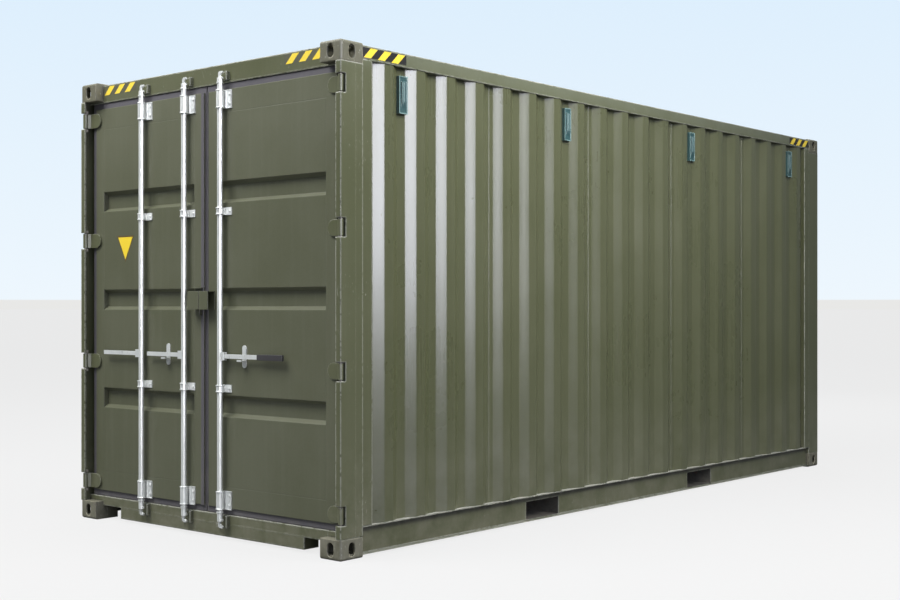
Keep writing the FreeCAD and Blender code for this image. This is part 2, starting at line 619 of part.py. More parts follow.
def locking_bar(label, bar_x, facing):
    """Tube, two collars, a cam at each end and the fork that carries the handle."""
    def off(amount):
        return "%s %s %s" % (bar_x, "+" if facing > 0 else "-", amount)

    def span(a, b):
        return (off(a), off(b)) if facing > 0 else (off(b), off(a))

    pieces = [rod(label + "_core", (bar_x, bar_y, "cam_neck - 40"), "bar_radius",
                  "cam_head - cam_neck + 52")]
    for name, low in (("low", "cam_neck + 12"), ("top", "cam_head - 12 - collar_tall")):
        pieces.append(rod("%s_collar_%s" % (label, name), (bar_x, bar_y, low), "collar_radius",
                          "collar_tall"))
    cam_y = (bar_y + " - cam_thick/2", bar_y + " + cam_thick/2")
    reach, root = bar_x + " + cam_reach", bar_x + " - cam_reach*0.4"
    for name, near, tip in (("low", "bar_low", "cam_neck - 24"), ("top", "bar_high", "cam_head + 4")):
        rise = "(%s - %s)" % (tip, near)
        hook = [(root, tip), (reach, tip), (reach, "%s - %s*0.2" % (tip, rise)),
                (bar_x + " + cam_reach*0.3", "%s - %s*0.35" % (tip, rise)),
                (bar_x + " + cam_reach*0.3", "%s - %s*0.62" % (tip, rise)),
                (reach, "%s - %s*0.78" % (tip, rise)), (reach, near),
                (bar_x, near), (root, "%s + %s*0.2" % (near, rise))]
        pieces.append(beam("%s_cam_%s" % (label, name), "XZ", [hook], *cam_y))
    for name, gap in (("front", "-(handle_thick/2 + hub_gap + hub_plate)"),
                      ("back", "handle_thick/2 + hub_gap")):
        start = "%s + (%s)" % (bar_y, gap)
        pieces.append(box("%s_hub_%s" % (label, name), span("bar_radius/2", "hub_reach"),
                          (start, start + " + hub_plate"),
                          ("handle_height - hub_tall/2", "handle_height + hub_tall/2")))
    pieces.append(rod(label + "_pivot", (off("handle_pivot"),
                      bar_y + " - handle_thick/2 - hub_gap - hub_plate", "handle_height"),
                      "handle_pin", "handle_thick + 2*hub_gap + 2*hub_plate", "y"))
    return keep(fuse(label, pieces))


locking_bar("locking_bar_outer", "-bar_outer", -1)
locking_bar("locking_bar_inner", "-bar_inner", -1)
locking_bar("locking_bar_right", "bar_inner", 1)


def handle(label, bar_x, facing, long):
    """A flat bar with a round eye on the fork's pin."""
    sign = "+" if facing > 0 else "-"
    pivot = "%s %s handle_pivot" % (bar_x, sign)
    end = "%s %s %s" % (bar_x, sign, long)
    x = (pivot, end) if facing > 0 else (end, pivot)
    y = (bar_y + " - handle_thick/2", bar_y + " + handle_thick/2")
    flat_bar = box(label + "_flat", x, y,
                   ("handle_height - handle_tall/2", "handle_height + handle_tall/2"))
    eye = rod(label + "_eye", (pivot, y[0], "handle_height"), "handle_tall/2", "handle_thick", "y")
    hole = rod(label + "_hole", (pivot, y[0] + " - 1", "handle_height"),
               "handle_pin + pin_clearance", "handle_thick + 2", "y")
    return keep(cut(label, fuse(label + "_solid", [flat_bar, eye]), [hole]))


handle("handle_outer", "-bar_outer", -1, "handle_outer_long")
handle("handle_inner", "-bar_inner", -1, "handle_inner_long")
handle("handle_right", "bar_inner", 1, "handle_right_long")
grip_end = "bar_inner + handle_right_long"
grip = box("grip_block", ("bar_inner + grip_start", grip_end + " + grip_wall"),
           (bar_y + " - handle_thick/2 - grip_wall", bar_y + " + handle_thick/2 + grip_wall"),
           ("handle_height - handle_tall/2 - grip_wall",
            "handle_height + handle_tall/2 + grip_wall"))
grip_core = box("grip_core", ("bar_inner + grip_start - 1", grip_end),
                (bar_y + " - handle_thick/2", bar_y + " + handle_thick/2"),
                ("handle_height - handle_tall/2", "handle_height + handle_tall/2"))
keep(cut("handle_grip", grip, [grip_core]))


def catch(label, x):
    """A plate on the leaf with a ledge that stands under the handle."""
    wide = (x + " - catch_wide/2", x + " + catch_wide/2")
    ledge_top = "handle_height - handle_tall/2 - catch_clearance"
    front = bar_y + " - handle_thick/2 - catch_clearance - catch_plate"
    low, high = ("handle_height %s (catch_tall - catch_wide)/2" % sign for sign in "-+")
    plate_y = leaf_face + " - catch_plate"
    return keep(fuse(label, [
        box(label + "_plate", wide, (plate_y, leaf_face), (low, high)),
        rod(label + "_foot", (x, plate_y, low), "catch_wide/2", "catch_plate", "y"),
        rod(label + "_head", (x, plate_y, high), "catch_wide/2", "catch_plate", "y"),
        box(label + "_ledge", wide, (front, leaf_face),
            (ledge_top + " - catch_plate - catch_lip", ledge_top + " - catch_lip")),
        box(label + "_lip", wide, (front, front + " + catch_plate"),
            (ledge_top + " - catch_plate - catch_lip", ledge_top)),
    ]))


catch("door_left_handle_catch", "-catch_at")
catch("door_right_handle_catch", "catch_at")

# keepers: a plate on the rail and a lug each side of the cam
keepers = []
for n, x in enumerate(("-bar_outer", "-bar_inner", "bar_inner"), 1):
    for name, z in (("low", ("bar_low", "sill_top - 6")), ("top", ("cam_head", "bar_high"))):
        label = "keeper_%s_%d" % (name, n)
        edge = "(keeper_gap + keeper_wide)"
        plate = box(label + "_plate", ("%s - %s" % (x, edge), "%s + %s" % (x, edge)),
                    (end_face + " - keeper_plate", end_face), z)
        lug_y = (end_face + " - keeper_stand", end_face)
        right = box(label + "_right", (x + " + keeper_gap", "%s + %s" % (x, edge)), lug_y, z)
        left = box(label + "_left", ("%s - %s" % (x, edge), x + " - keeper_gap"), lug_y,
                   (z[0], "%s + 24" % z[0]))
        keepers.append(fuse(label, [plate, right, left]))
keep(group("cam_keepers", keepers))

# ---------------------------------------------------------------- lock box, half on each leaf
box_y = (leaf_face + " - box_deep", leaf_face)
box_z = ("box_low", "box_top")
right_x = ("box_seam", "box_right")
left_x = ("-box_left", "-box_seam")
roof_of_box = ("box_top - box_wall", "box_top")
keep(fuse("lock_box", [
    box("lock_front", right_x, (box_y[0], box_y[0] + " + box_wall"), box_z),
    box("lock_roof", right_x, box_y, roof_of_box),
    box("lock_back", ("leaf_inner", "box_right"), (leaf_face + " - box_wall", leaf_face), box_z)]))
keep(fuse("lock_staple", [
    box("staple_front", left_x, (box_y[0], box_y[0] + " + box_wall"), box_z),
    box("staple_roof", left_x, box_y, roof_of_box),
    box("staple_end", ("-box_left", "-box_left + box_wall"), box_y, box_z),
    box("staple_back", ("-box_left", "-leaf_inner"), (leaf_face + " - box_wall", leaf_face),
        box_z),
    box("staple_hasp", ("-box_left", "-hasp_right"), (leaf_face + " - hasp_deep", leaf_face),
        ("box_top + hasp_above", "box_top + hasp_above + box_wall")),
    box("staple_lug", ("-box_left + hasp_lug", "-hasp_right - 12"),
        (leaf_face + " - hasp_deep", leaf_face), ("box_low - hasp_lug", "box_low"))]))

# ---------------------------------------------------------------- check and write
doc.recompute()
for item in doc.Objects:
    bad = [flag for flag in item.State if flag in ("Invalid", "Error")]
    if bad:
        raise RuntimeError("%s is %s" % (item.Label, bad))
for label, piece in exported.items():
    shape = piece.Shape
    if shape.isNull() or not shape.isValid() or not shape.Solids:
        raise RuntimeError(label + " has no sound solid")
    shape.exportStep("parts/%s.step" % label)
    print("%-26s %3d solid(s) %9.0f cm3" % (label, len(shape.Solids), shape.Volume / 1000))
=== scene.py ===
# %% [markdown]
# # A shipping container, from frame to finish
# The frame is the engineering model: every post, rail, casting, door and bar already has its
# real size and place. This lesson dresses it. We keep the frame's own pieces where their shape
# is right and only paint them, and we make a new surface where the real one is softer or more
# detailed than the frame: the folded walls and roof, the weld beads, the tapes and the bolts.

# %% Open the frame
import bpy
import json
import math
import numpy as np
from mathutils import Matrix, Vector


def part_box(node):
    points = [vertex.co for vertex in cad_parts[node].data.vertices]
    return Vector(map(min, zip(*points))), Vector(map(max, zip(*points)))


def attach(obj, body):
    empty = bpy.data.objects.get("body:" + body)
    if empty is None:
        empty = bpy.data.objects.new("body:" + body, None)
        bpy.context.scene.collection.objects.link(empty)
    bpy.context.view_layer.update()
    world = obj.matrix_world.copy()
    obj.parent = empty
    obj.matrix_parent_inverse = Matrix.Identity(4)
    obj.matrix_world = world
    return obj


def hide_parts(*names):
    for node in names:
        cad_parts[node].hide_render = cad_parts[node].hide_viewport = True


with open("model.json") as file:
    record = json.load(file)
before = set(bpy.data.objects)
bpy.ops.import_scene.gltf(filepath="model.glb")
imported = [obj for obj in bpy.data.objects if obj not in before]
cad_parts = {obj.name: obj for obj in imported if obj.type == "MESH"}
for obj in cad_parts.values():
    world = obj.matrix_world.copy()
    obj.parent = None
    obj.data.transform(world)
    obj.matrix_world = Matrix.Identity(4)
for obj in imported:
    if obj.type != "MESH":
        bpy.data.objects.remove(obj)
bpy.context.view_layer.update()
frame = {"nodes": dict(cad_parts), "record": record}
nodes = frame["nodes"]

# %% [markdown]
# ## Working surfaces out with numpy
# Sheet metal, tape and weld beads are all one idea: a grid of points, joined by four-sided
# faces. If the points are worked out as one whole array, the mesh follows in three lines, and
# changing a size is changing a number. So the only helper we need turns a grid into an object.

# %% From a grid of points to an object
def piece_of(name, points, corners, body, smooth):
    """An object that rides a body, from flat arrays: x, y, z of each point, and the four
    corners of each face."""
    mesh = bpy.data.meshes.new(name)
    mesh.vertices.add(len(points) // 3)
    mesh.vertices.foreach_set("co", points)
    mesh.loops.add(len(corners))
    mesh.loops.foreach_set("vertex_index", corners)
    mesh.polygons.add(len(corners) // 4)
    mesh.polygons.foreach_set("loop_start", np.arange(0, len(corners), 4, dtype=np.int32))
    mesh.polygons.foreach_set("use_smooth", np.full(len(corners) // 4, smooth))
    mesh.update(calc_edges=True)
    mesh.validate()
    piece = bpy.data.objects.new(name, mesh)
    bpy.context.collection.objects.link(piece)
    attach(piece, body)
    return piece


def sheet_from_grid(name, grid, body, round_v=False, smooth=True):
    """Joins point (i, j) to (i+1, j), (i+1, j+1) and (i, j+1) for every i and j of the grid.
    With round_v the last column is joined to the first one, which closes a tube."""
    rows, cols = grid.shape[:2]
    order = np.arange(rows * cols).reshape(rows, cols)
    nxt = np.roll(order, -1, axis=1) if round_v else order[:, 1:]
    here = order if round_v else order[:, :-1]
    faces = np.stack([here[:-1], here[1:], nxt[1:], nxt[:-1]], axis=-1).reshape(-1, 4)
    return piece_of(name, grid.reshape(-1).astype(np.float32),
                    faces.reshape(-1).astype(np.int32), body, smooth)


def thicken(piece, thick, offset=-1.0):
    """Gives a sheet a thickness behind its face and closes its rim."""
    solid = piece.modifiers.new("thickness", "SOLIDIFY")
    solid.thickness = thick
    solid.offset = offset
    solid.use_even_offset = True
    return piece


print("a grid of 3 by 4 points has", 2 * 3, "faces")

# %% [markdown]
# ## The folded sheets
# A press folds flat steel into a trapezoid wave: a raised flat, a slope, a valley, a slope. The
# frame has that wave with knife-sharp folds. Real folds are round, and a long sheet is never
# quite flat, which is what makes light run unevenly down each slope. We average the wave over
# a window as wide as the fold, which rounds every bend by itself, and add a very small wobble.

# %% The rounded wave
def middles_of(count, pitch, shift=0.0, **rest):
    """Places of the raised flats, spread evenly about the middle and moved by shift."""
    return (np.arange(count) - (count - 1) / 2) * pitch + shift


def trapezoid(s, count, pitch, flat, slope, deep, shift=0.0):
    """Depth of the wave at s: 0 on a raised flat, -deep in a valley, straight between them.
    It is worked out from the distance to the middle of the nearest raised flat."""
    first = shift - (count - 1) / 2 * pitch
    nearest = first + pitch * np.clip(np.round((s - first) / pitch), 0, count - 1)
    away = np.abs(s - nearest)
    return -deep * np.clip((away - flat / 2) / slope, 0, 1)


def rounded_wave(s, fold, **wave):
    """The trapezoid averaged over a window one fold wide, so each corner becomes an arc."""
    window = np.linspace(-fold / 2, fold / 2, 13)
    return trapezoid(s[:, None] + window, **wave).mean(axis=1)


def places_along(low, high, fold, **wave):
    """Sample places: five across each of the four bends of every wave, and a few between."""
    flat, slope = wave["flat"], wave["slope"]
    bends = np.array([-flat / 2 - slope, -flat / 2, flat / 2, flat / 2 + slope])
    across = np.linspace(-fold / 2, fold / 2, 5)
    between = np.array([-flat / 2 - slope / 2, -flat / 6, flat / 6, flat / 2 + slope / 2])
    middles = middles_of(**wave)[:, None]
    spots = (middles[:, :, None] + bends[None, :, None] + across).ravel()
    ends = [low, low + 0.0006, high - 0.0006, high]
    every = np.concatenate([ends, spots, (middles + between).ravel()])
    every = np.unique(np.round(every, 5))
    return every[(every >= low) & (every <= high)]


def wobble(s, t, size, seed):
    """A sum of six long, slanting ripples, each with its own direction, length and start."""
    luck = np.random.default_rng(seed)
    total = 0
    for _ in range(6):
        along, up, start = luck.uniform(1.5, 7.0), luck.uniform(0.8, 4.5), luck.uniform(0, 6.28)
        total = total + np.sin(along * s + up * t * luck.choice([-1, 1]) + start)
    return size * total / 6


SIDE_WAVE = dict(count=20, pitch=0.278, flat=0.072, slope=0.068, deep=0.036, shift=0.019)
END_WAVE = dict(count=7, pitch=0.278, flat=0.072, slope=0.068, deep=0.045)
ROOF_WAVE = dict(count=19, pitch=0.290, flat=0.110, slope=0.040, deep=0.020)
FOLD = 0.009
print("depth at a flat and a valley:", rounded_wave(np.array([0.158, 0.019]), FOLD, **SIDE_WAVE))

# %% [markdown]
# ## Walls and roof
# The side walls, the closed end and the roof are the same kind of sheet with other numbers. One
# could model one wave and repeat it with an Array, but then every wave is alike and the long
# wobble is lost. So one function lays a whole sheet, and a small place function says which way
# it faces. Each skin replaces the plain piece of the frame and keeps inside its outline.

# %% Walls and roof as folded sheets
SIDES = (("right", 1), ("left", -1))
SHEET_THICK, WOBBLE, EASE = 0.002, 0.0009, 0.25


def box_of(node):
    """The low and high corner of a piece of the frame, as arrays."""
    return (np.array(corner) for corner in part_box(node))


def folded_sheet(name, node, wave, across, along, place, flip, paint_slot, lines=34):
    """The sheet is depth(s, t) = wave(s) + wobble(s, t), eased to no wobble at both ends of
    t, and place turns s, t and depth into x, y and z. The first and last rows lie close
    together, so that the turn at the rim stays at the rim."""
    low, high = box_of(node)
    s = places_along(low[across], high[across], FOLD, **wave)
    t = np.linspace(low[along], high[along], lines)
    t = np.concatenate([t[:1], t[:1] + 0.0006, t[1:-1], t[-1:] - 0.0006, t[-1:]])
    ease = np.clip(np.minimum(t - t[0], t[-1] - t) / EASE, 0, 1)
    ripple = wobble(s[:, None], t[None, :], WOBBLE, 3)
    depth = rounded_wave(s, FOLD, **wave)[:, None] - 0.0003 + (ripple - WOBBLE) * ease
    flat_s, flat_t = np.broadcast_arrays(s[:, None], t[None, :])
    grid = np.stack(place(flat_s, flat_t, depth, low, high), axis=-1)
    sheet = thicken(sheet_from_grid(name, grid[::-1] if flip else grid, "frame"), SHEET_THICK)
    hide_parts(node)
    print(name, "faces:", len(sheet.data.polygons))
    return sheet, paint_slot


sheets = [
    folded_sheet("side_wall_skin_right", "side_wall_right", SIDE_WAVE, 1, 2,
                 lambda s, t, d, low, high: (high[0] + d, s, t), False, "wall_paint"),
    folded_sheet("side_wall_skin_left", "side_wall_left", SIDE_WAVE, 1, 2,
                 lambda s, t, d, low, high: (low[0] - d, s, t), True, "wall_paint"),
    folded_sheet("front_wall_skin", "front_wall", END_WAVE, 0, 2,
                 lambda s, t, d, low, high: (s, high[1] + d, t), True, "wall_paint"),
    folded_sheet("roof_skin", "roof_panel", ROOF_WAVE, 1, 0,
                 lambda s, t, d, low, high: (t, s, high[2] + d), True, "roof_paint"),
]

# %% [markdown]
# ## Weld beads
# A side wall is five sheets butted in the valleys, so four upright weld beads show on it. A
# bead is a half-round string with a ripple for every dip of the torch. A bevelled curve would
# be round but even; a swept half circle whose height follows a sine has the ripple in it.

# %% Weld beads
def upright_bead(name, x_out, y, low, high, side, wide=0.007, tall=0.0022):
    """A half circle swept up z: point at angle a and height z lies at
    y + wide/2 * cos(a), x_out + tall * sin(a) * (1 + ripple(z)), ripple a sine of z."""
    angle = np.linspace(0, math.pi, 7)[None, :]
    z = np.linspace(low, high, 500)[:, None]
    ripple = 1 + 0.22 * np.sin(z * 900) + 0.10 * np.sin(z * 41 + y)
    out = tall * np.sin(angle) * ripple
    run = y + side * wide / 2 * np.cos(angle) + 0.0007 * np.sin(z * 23 + y)
    grid = np.stack([x_out + side * out, run + 0 * out, z + 0 * out], axis=-1)
    return sheet_from_grid(name, grid[:, ::-1], "frame")


def valley(share):
    """Where a valley lies along the wall, counted in waves from the middle."""
    return share * SIDE_WAVE["pitch"] + SIDE_WAVE["shift"]


BEAD_VALLEYS, VENT_VALLEYS = (-6, -2, 2, 6), (-9, -3, 3, 9)
low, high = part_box("side_wall_right")
beads = []
for word, side in SIDES:
    for number, share in enumerate(BEAD_VALLEYS, 1):
        y = valley(share)
        x_out = side * (high[0] - SIDE_WAVE["deep"] - 0.0008)
        beads.append(upright_bead("weld_%s_%d" % (word, number), x_out, y, low[2] + 0.001,
                                  high[2] - 0.001, side))
print("weld beads:", len(beads))

# %% [markdown]
# ## Tapes at the top corners
# The high corners are marked with film cut on a slant and pressed on the rails. It could be
# painted in the material, but its edges would then be as soft as the texture. As black film
# with yellow parallelograms on it, each edge is a real cut edge.

# %% Tapes at the top corners
def film(name, corners, body="frame", cells=(2, 2)):
    """A patch between four corners: the weighted mean of the corners over a small grid."""
    a, b, c, d = (np.array(corner, float) for corner in corners)
    u = np.linspace(0, 1, cells[0] + 1)[:, None, None]
    v = np.linspace(0, 1, cells[1] + 1)[None, :, None]
    grid = (1 - u) * (1 - v) * a + u * (1 - v) * b + u * v * c + (1 - u) * v * d
    return sheet_from_grid(name, grid, body, smooth=False)


def joined(name, pieces, body="frame", smooth=False):
    """One object from several sheets: their points and faces are simply stacked."""
    points, faces, count = [], [], 0
    for piece in pieces:
        mesh = piece.data
        spots = np.empty(len(mesh.vertices) * 3, np.float32)
        mesh.vertices.foreach_get("co", spots)
        corners = np.empty(len(mesh.loops), np.int32)
        mesh.loops.foreach_get("vertex_index", corners)
        points.append(spots)
        faces.append(corners + count)
        count += len(mesh.vertices)
        bpy.data.objects.remove(piece)
        bpy.data.meshes.remove(mesh)
    return piece_of(name, np.concatenate(points), np.concatenate(faces), body, smooth)


def tape(name, point, start, length, low, high, stripes, lean, reverse):
    """Black film from start along the rail, and slanted yellow stripes on it. point turns a
    place along the rail, a height and a small lift into x, y and z."""
    def patch(label, a0, a1, b0, b1, lift):
        ring = [point(a0, low, lift), point(a1, low, lift), point(b1, high, lift),
                point(b0, high, lift)]
        return film(label, ring[::-1] if reverse else ring)

    black = patch(name + "_film", start, start + length, start, start + length, 0.0003)
    pitch = (length - lean) / (stripes - 0.30)
    slashes = []
    for i in range(stripes):
        a = start + pitch * (i + 0.10)
        slashes.append(patch("%s_slash_%d" % (name, i), a, a + pitch * 0.50, a + lean,
                             a + lean + pitch * 0.50, 0.0005))
    return black, joined(name + "_slashes", slashes)


black_films, yellow_films = [], []
door_face, far_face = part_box("door_header")[0][1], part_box("front_top_rail")[1][1]
rail_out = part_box("top_side_rail_right")[1][0]
places = [
    ("tape_door_right", lambda a, z, k: (a, door_face - k, z), 0.700, 0.355, False),
    ("tape_door_left", lambda a, z, k: (a, door_face - k, z), -1.055, 0.355, False),
    ("tape_far_right", lambda a, z, k: (a, far_face + k, z), 0.700, 0.355, True),
    ("tape_far_left", lambda a, z, k: (a, far_face + k, z), -1.055, 0.355, True),
    ("tape_right_near", lambda a, z, k: (rail_out + k, a, z), -2.849, 0.370, False),
    ("tape_right_far", lambda a, z, k: (rail_out + k, a, z), 2.479, 0.370, False),
    ("tape_left_near", lambda a, z, k: (-rail_out - k, a, z), -2.849, 0.370, True),
    ("tape_left_far", lambda a, z, k: (-rail_out - k, a, z), 2.479, 0.370, True),
]
for label, point, start, length, reverse in places:
    band = (2.828, 2.880) if "far_" in label else (2.818, 2.874)
    black, yellow = tape(label, point, start, length, *band, 3, 0.058, reverse)
    black_films.append(black)
    yellow_films.append(yellow)
print("tapes:", len(black_films), "stripes sheets:", len(yellow_films))

# %% [markdown]
# ## Ventilators
# A ventilator is a small moulding with a raised rim and a ribbed hood, open below so that rain
# stays out. Boxes joined by booleans give hard, wrong edges. A relief is simpler: a grid over
# the plate whose height is a sum of clipped distances, with slopes just where a mould has them.
# Its raised lines are paler, so they get strips of their own.

# %% Ventilators as relief grids
def ventilator(name, y, x_out, low, high, side):
    """A moulded box: x = wall of the mould(u, v) * (plate + rim + hood(u, v)), where the rim
    is raised within 4 mm of the border and the hood is a ribbed block that slopes at its
    foot. u runs across from -1 to 1 and v up from 0 to 1."""
    half = 0.037
    u = np.unique(np.concatenate([np.linspace(-1, 1, 61), [-0.985, 0.985]]))[:, None]
    v = np.unique(np.concatenate([np.linspace(0, 1, 91), [0.004, 0.996]]))[None, :]
    border = np.minimum((1 - np.abs(u)) * half, np.minimum(v, 1 - v) * (high - low))
    mould = np.clip(border / 0.0006, 0, 1)
    rim = 0.0030 * np.clip((0.0055 - border) / 0.0010, 0, 1)
    inside = np.clip((0.62 - np.abs(u - 0.12)) / 0.05, 0, 1)
    foot, crown = np.clip((v - 0.16) / 0.16, 0, 1), np.clip((0.86 - v) / 0.02, 0, 1)
    ribs = 0.0012 * np.clip(np.cos((u - 0.12) * 3.1416 * 3.2) * 3, -1, 1)
    hood = inside * foot * crown * (0.0072 + ribs)
    x = x_out + side * mould * (0.0195 + np.maximum(rim, hood))
    grid = np.stack([x, y + half * u + 0 * x, low + (high - low) * v + 0 * x], axis=-1)
    return sheet_from_grid(name, grid if side > 0 else grid[::-1], "frame", smooth=False)


vents = []
for word, side in SIDES:
    low, high = box_of("vents_" + word)
    floor_x = side * (np.abs([low[0], high[0]]).min() + 0.0005)
    pieces = [ventilator("vent_%s_%d" % (word, i), valley(k), floor_x, low[2], high[2], side)
              for i, k in enumerate(VENT_VALLEYS, 1)]
    vents.append(joined("vents_relief_" + word, pieces))
    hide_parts("vents_" + word)
print("ventilator faces:", len(vents[0].data.polygons))


def vent_trim(name, y, x, low, high, side):
    """Paler raised lines of the moulding, as four strips round it and two on the hood."""
    half, w = 0.0366, 0.0042
    strips = [(-half, -half + w, low + 0.0004, high - 0.0004, 0.0),
              (half - w, half, low + 0.0004, high - 0.0004, 0.0),
              (-half + w, half - w, high - w - 0.0004, high - 0.0004, 0.0),
              (-half + w, half - w, low + 0.0004, low + w, 0.0),
              (-0.0170, -0.0135, low + 0.068, high - 0.034, 0.0056),
              (0.0030, 0.0060, low + 0.068, high - 0.034, 0.0056)]
    made = []
    for i, (a, b, z0, z1, lift) in enumerate(strips):
        at = x + side * lift
        ring = [(at, y + a, z0), (at, y + b, z0), (at, y + b, z1), (at, y + a, z1)]
        made.append(film("%s_%d" % (name, i), ring if side > 0 else ring[::-1]))
    return made


trims = []
for word, side in SIDES:
    low, high = box_of("vents_" + word)
    line_x = side * (np.abs([low[0], high[0]]).min() + 0.0232)
    strips = sum([vent_trim("trim_%s_%d" % (word, i), valley(k), line_x, low[2], high[2], side)
                  for i, k in enumerate(VENT_VALLEYS, 1)], [])
    trims.append(joined("vents_trim_" + word, strips))
print("ventilator trims:", len(trims))

# %% [markdown]
# ## Seals
# Mastic is pressed by hand into the corner where a wall meets its ledge, so its inner line
# follows the wave and its outer line wanders. A constant-width strip would look machined; two
# lines, one from the wave and one from a few sines, give the hand-laid look. Between the doors
# two rubber flaps meet, with a bowed face that catches a soft light.

# %% Seal along the foot of the walls, and the flap seal between the doors
def foot_seal(name, side):
    """A strip on the ledge: its inner line follows the wave, its outer line wanders along
    the ledge's edge by a sum of sines, and its height swells in the middle."""
    y = np.linspace(-2.765, 2.765, 1400)
    wave = rounded_wave(y, FOLD, **SIDE_WAVE)
    inner = 1.2092 + wave
    outer = 1.2125 + 0.0012 * np.sin(y * 31) + 0.0009 * np.sin(y * 77 + 1)
    share = np.linspace(0, 1, 6)[None, :]
    x = inner[:, None] * (1 - share) + outer[:, None] * share
    swell = 0.0012 + 0.0016 * np.sin(share * math.pi) * (1 + 0.4 * np.sin(y * 50)[:, None])
    z = 0.1740 + swell
    grid = np.stack([side * x, y[:, None] + 0 * x, z], axis=-1)
    return sheet_from_grid(name, grid[::-1] if side > 0 else grid, "frame")


seals = [foot_seal("foot_seal_right", 1), foot_seal("foot_seal_left", -1)]


def flap_seal(name, body, inner, outer, low, high):
    """An upright rubber flap with a bowed face: y = face - bow * (1 - (2u - 1)^4)."""
    u = np.linspace(0, 1, 13)[:, None]
    z = np.linspace(low, high, 60)[None, :]
    y = leaf_face - 0.0045 * (1 - (2 * u - 1) ** 4) - 0.0003 + 0 * z
    grid = np.stack([inner + (outer - inner) * u + 0 * z, y, z + 0 * u], axis=-1)
    return sheet_from_grid(name, grid, body)


leaf_low, leaf_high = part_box("door_left_frame")
leaf_face = leaf_low[1]
flaps = [flap_seal("flap_seal_left", "door_left", -0.045, -0.0175, leaf_low[2], leaf_high[2]),
         flap_seal("flap_seal_right", "door_right", 0.0175, 0.026, leaf_low[2], leaf_high[2])]
print("seals and flaps:", len(seals), len(flaps))

# %% [markdown]
# ## Turned and pressed steel on the bars
# A bar is drawn tube, its sleeves end in a thicker ring, and the plates that hold them are
# pressed with a raised border and two bolts. A tube and a ring are one outline turned about
# the bar's axis; a plate is a height map over a grid.

# %% Tubes, rings and plates
def lathe(name, body, x, y, radius, z, around=56):
    """The outline (radius_i, z_i) turned about an upright axis: point (i, a) lies at
    x + r_i cos a, y + r_i sin a, z_i."""
    a = -np.linspace(0, 2 * math.pi, around, endpoint=False)[None, :]
    r, z = np.array(radius, float)[:, None], np.array(z, float)[:, None]
    grid = np.stack([x + r * np.cos(a), y + r * np.sin(a), z + 0 * a], axis=-1)
    return sheet_from_grid(name, grid, body, round_v=True)


def plate(name, body, bar_x, low, tall):
    """Height over the leaf: plate + border ridge + bolts, each a clipped distance."""
    u = np.linspace(0.0225, 0.0725, 51)[:, None]
    v = np.linspace(-0.0005, tall + 0.0005, 91)[None, :]
    border = np.minimum(np.minimum(u - 0.0225, 0.0725 - u), np.minimum(v, tall - v) + 0.0005)
    rise = np.clip(border / 0.0007, 0, 1)
    ridge = 0.0030 * np.clip((0.0058 - border) / 0.0015, 0, 1)
    bolts = 0
    for share in (0.25, 0.75):
        away = np.hypot(u - 0.056, v - tall * share)
        six = np.arctan2(v - tall * share, u - 0.056)
        edge = 0.0082 / np.cos((six + 0.3) % (math.pi / 3) - math.pi / 6) * 0.93
        bolts = np.maximum(bolts, 0.0062 * np.clip((edge - away) / 0.0008, 0, 1))
        bolts = np.maximum(bolts, 0.0014 * np.clip((0.0115 - away) / 0.0008, 0, 1))
    y = leaf_face - rise * (0.0064 + np.maximum(ridge, bolts))
    grid = np.stack([bar_x + u + 0 * y, y, low + v + 0 * y], axis=-1)
    return sheet_from_grid(name, grid, body, smooth=False)


BAR_RADIUS, BRACKET_TALL, GUIDE_TALL, RING_TALL = 0.0172, 0.113, 0.046, 0.009
bar_y = leaf_face - 0.033
bars = {"bar_outer": ("door_left", -0.600), "bar_inner": ("door_left", -0.171),
        "bar_right": ("door_right", 0.171)}
low_end, top_end = leaf_low[2] - 0.008, leaf_high[2] - 0.117
guides = (leaf_low[2] + 0.702, leaf_high[2] - 0.761)
tubes, rings, plates = [], [], []
for bar, (door, x) in bars.items():
    z = np.linspace(0.1760, 2.7610, 120)
    tubes.append(lathe("tube_" + bar, bar, x, bar_y, np.full(z.shape, BAR_RADIUS), z))
    made = []
    sleeves = [(z, BRACKET_TALL) for z in (low_end, top_end)] + [(z, GUIDE_TALL) for z in guides]
    for foot, tall in sleeves:
        for z0 in (foot, foot + tall - RING_TALL):
            made.append(lathe("ring", door, x, bar_y, [0.0231, 0.0252, 0.0256, 0.0252, 0.0231],
                              z0 + np.array([0.0, 0.0008, 0.0045, 0.0082, 0.0090])))
    rings.append(joined("sleeve_rings_" + bar, made, door, smooth=True))
    plates.append(joined("bracket_plates_" + bar, [
        plate("plate", door, x, foot, BRACKET_TALL) for foot in (low_end, top_end)], door))
print("tubes, rings, plates:", len(tubes), len(rings), len(plates))

# %% [markdown]
# ## The plain triangle
# A yellow triangle with a dark border stands on its point on the left door. It is left plain,
# with no sign on it. A flat mesh with three corners would do, but a grid squeezed to a point
# keeps the faces even, and two of them, one inside the other, make the border a real step.

# %% Plain triangle on the left door, on its point
border, middle_x, top_z, wide, tall = 0.009, -0.812, 1.876, 0.182, 0.172


def triangle(name, inset, lift):
    """A grid squeezed to a point: at share v down the triangle the row is (1 - v) wide."""
    u = np.linspace(-0.5, 0.5, 9)[:, None]
    v = np.linspace(0, 0.995, 12)[None, :]
    w, h = wide - 3.1 * inset, tall - 2.9 * inset
    x = middle_x + u * w * (1 - v)
    z = (top_z - inset - v * h) + 0 * u
    grid = np.stack([x, np.full(x.shape, leaf_face - lift), z], axis=-1)
    return sheet_from_grid(name, grid[::-1], "door_left", smooth=False)


triangle_edge = triangle("triangle_border", 0.0, 0.0003)
triangle_face = triangle("triangle_face", border, 0.0005)
print("triangle:", wide, "by", tall)

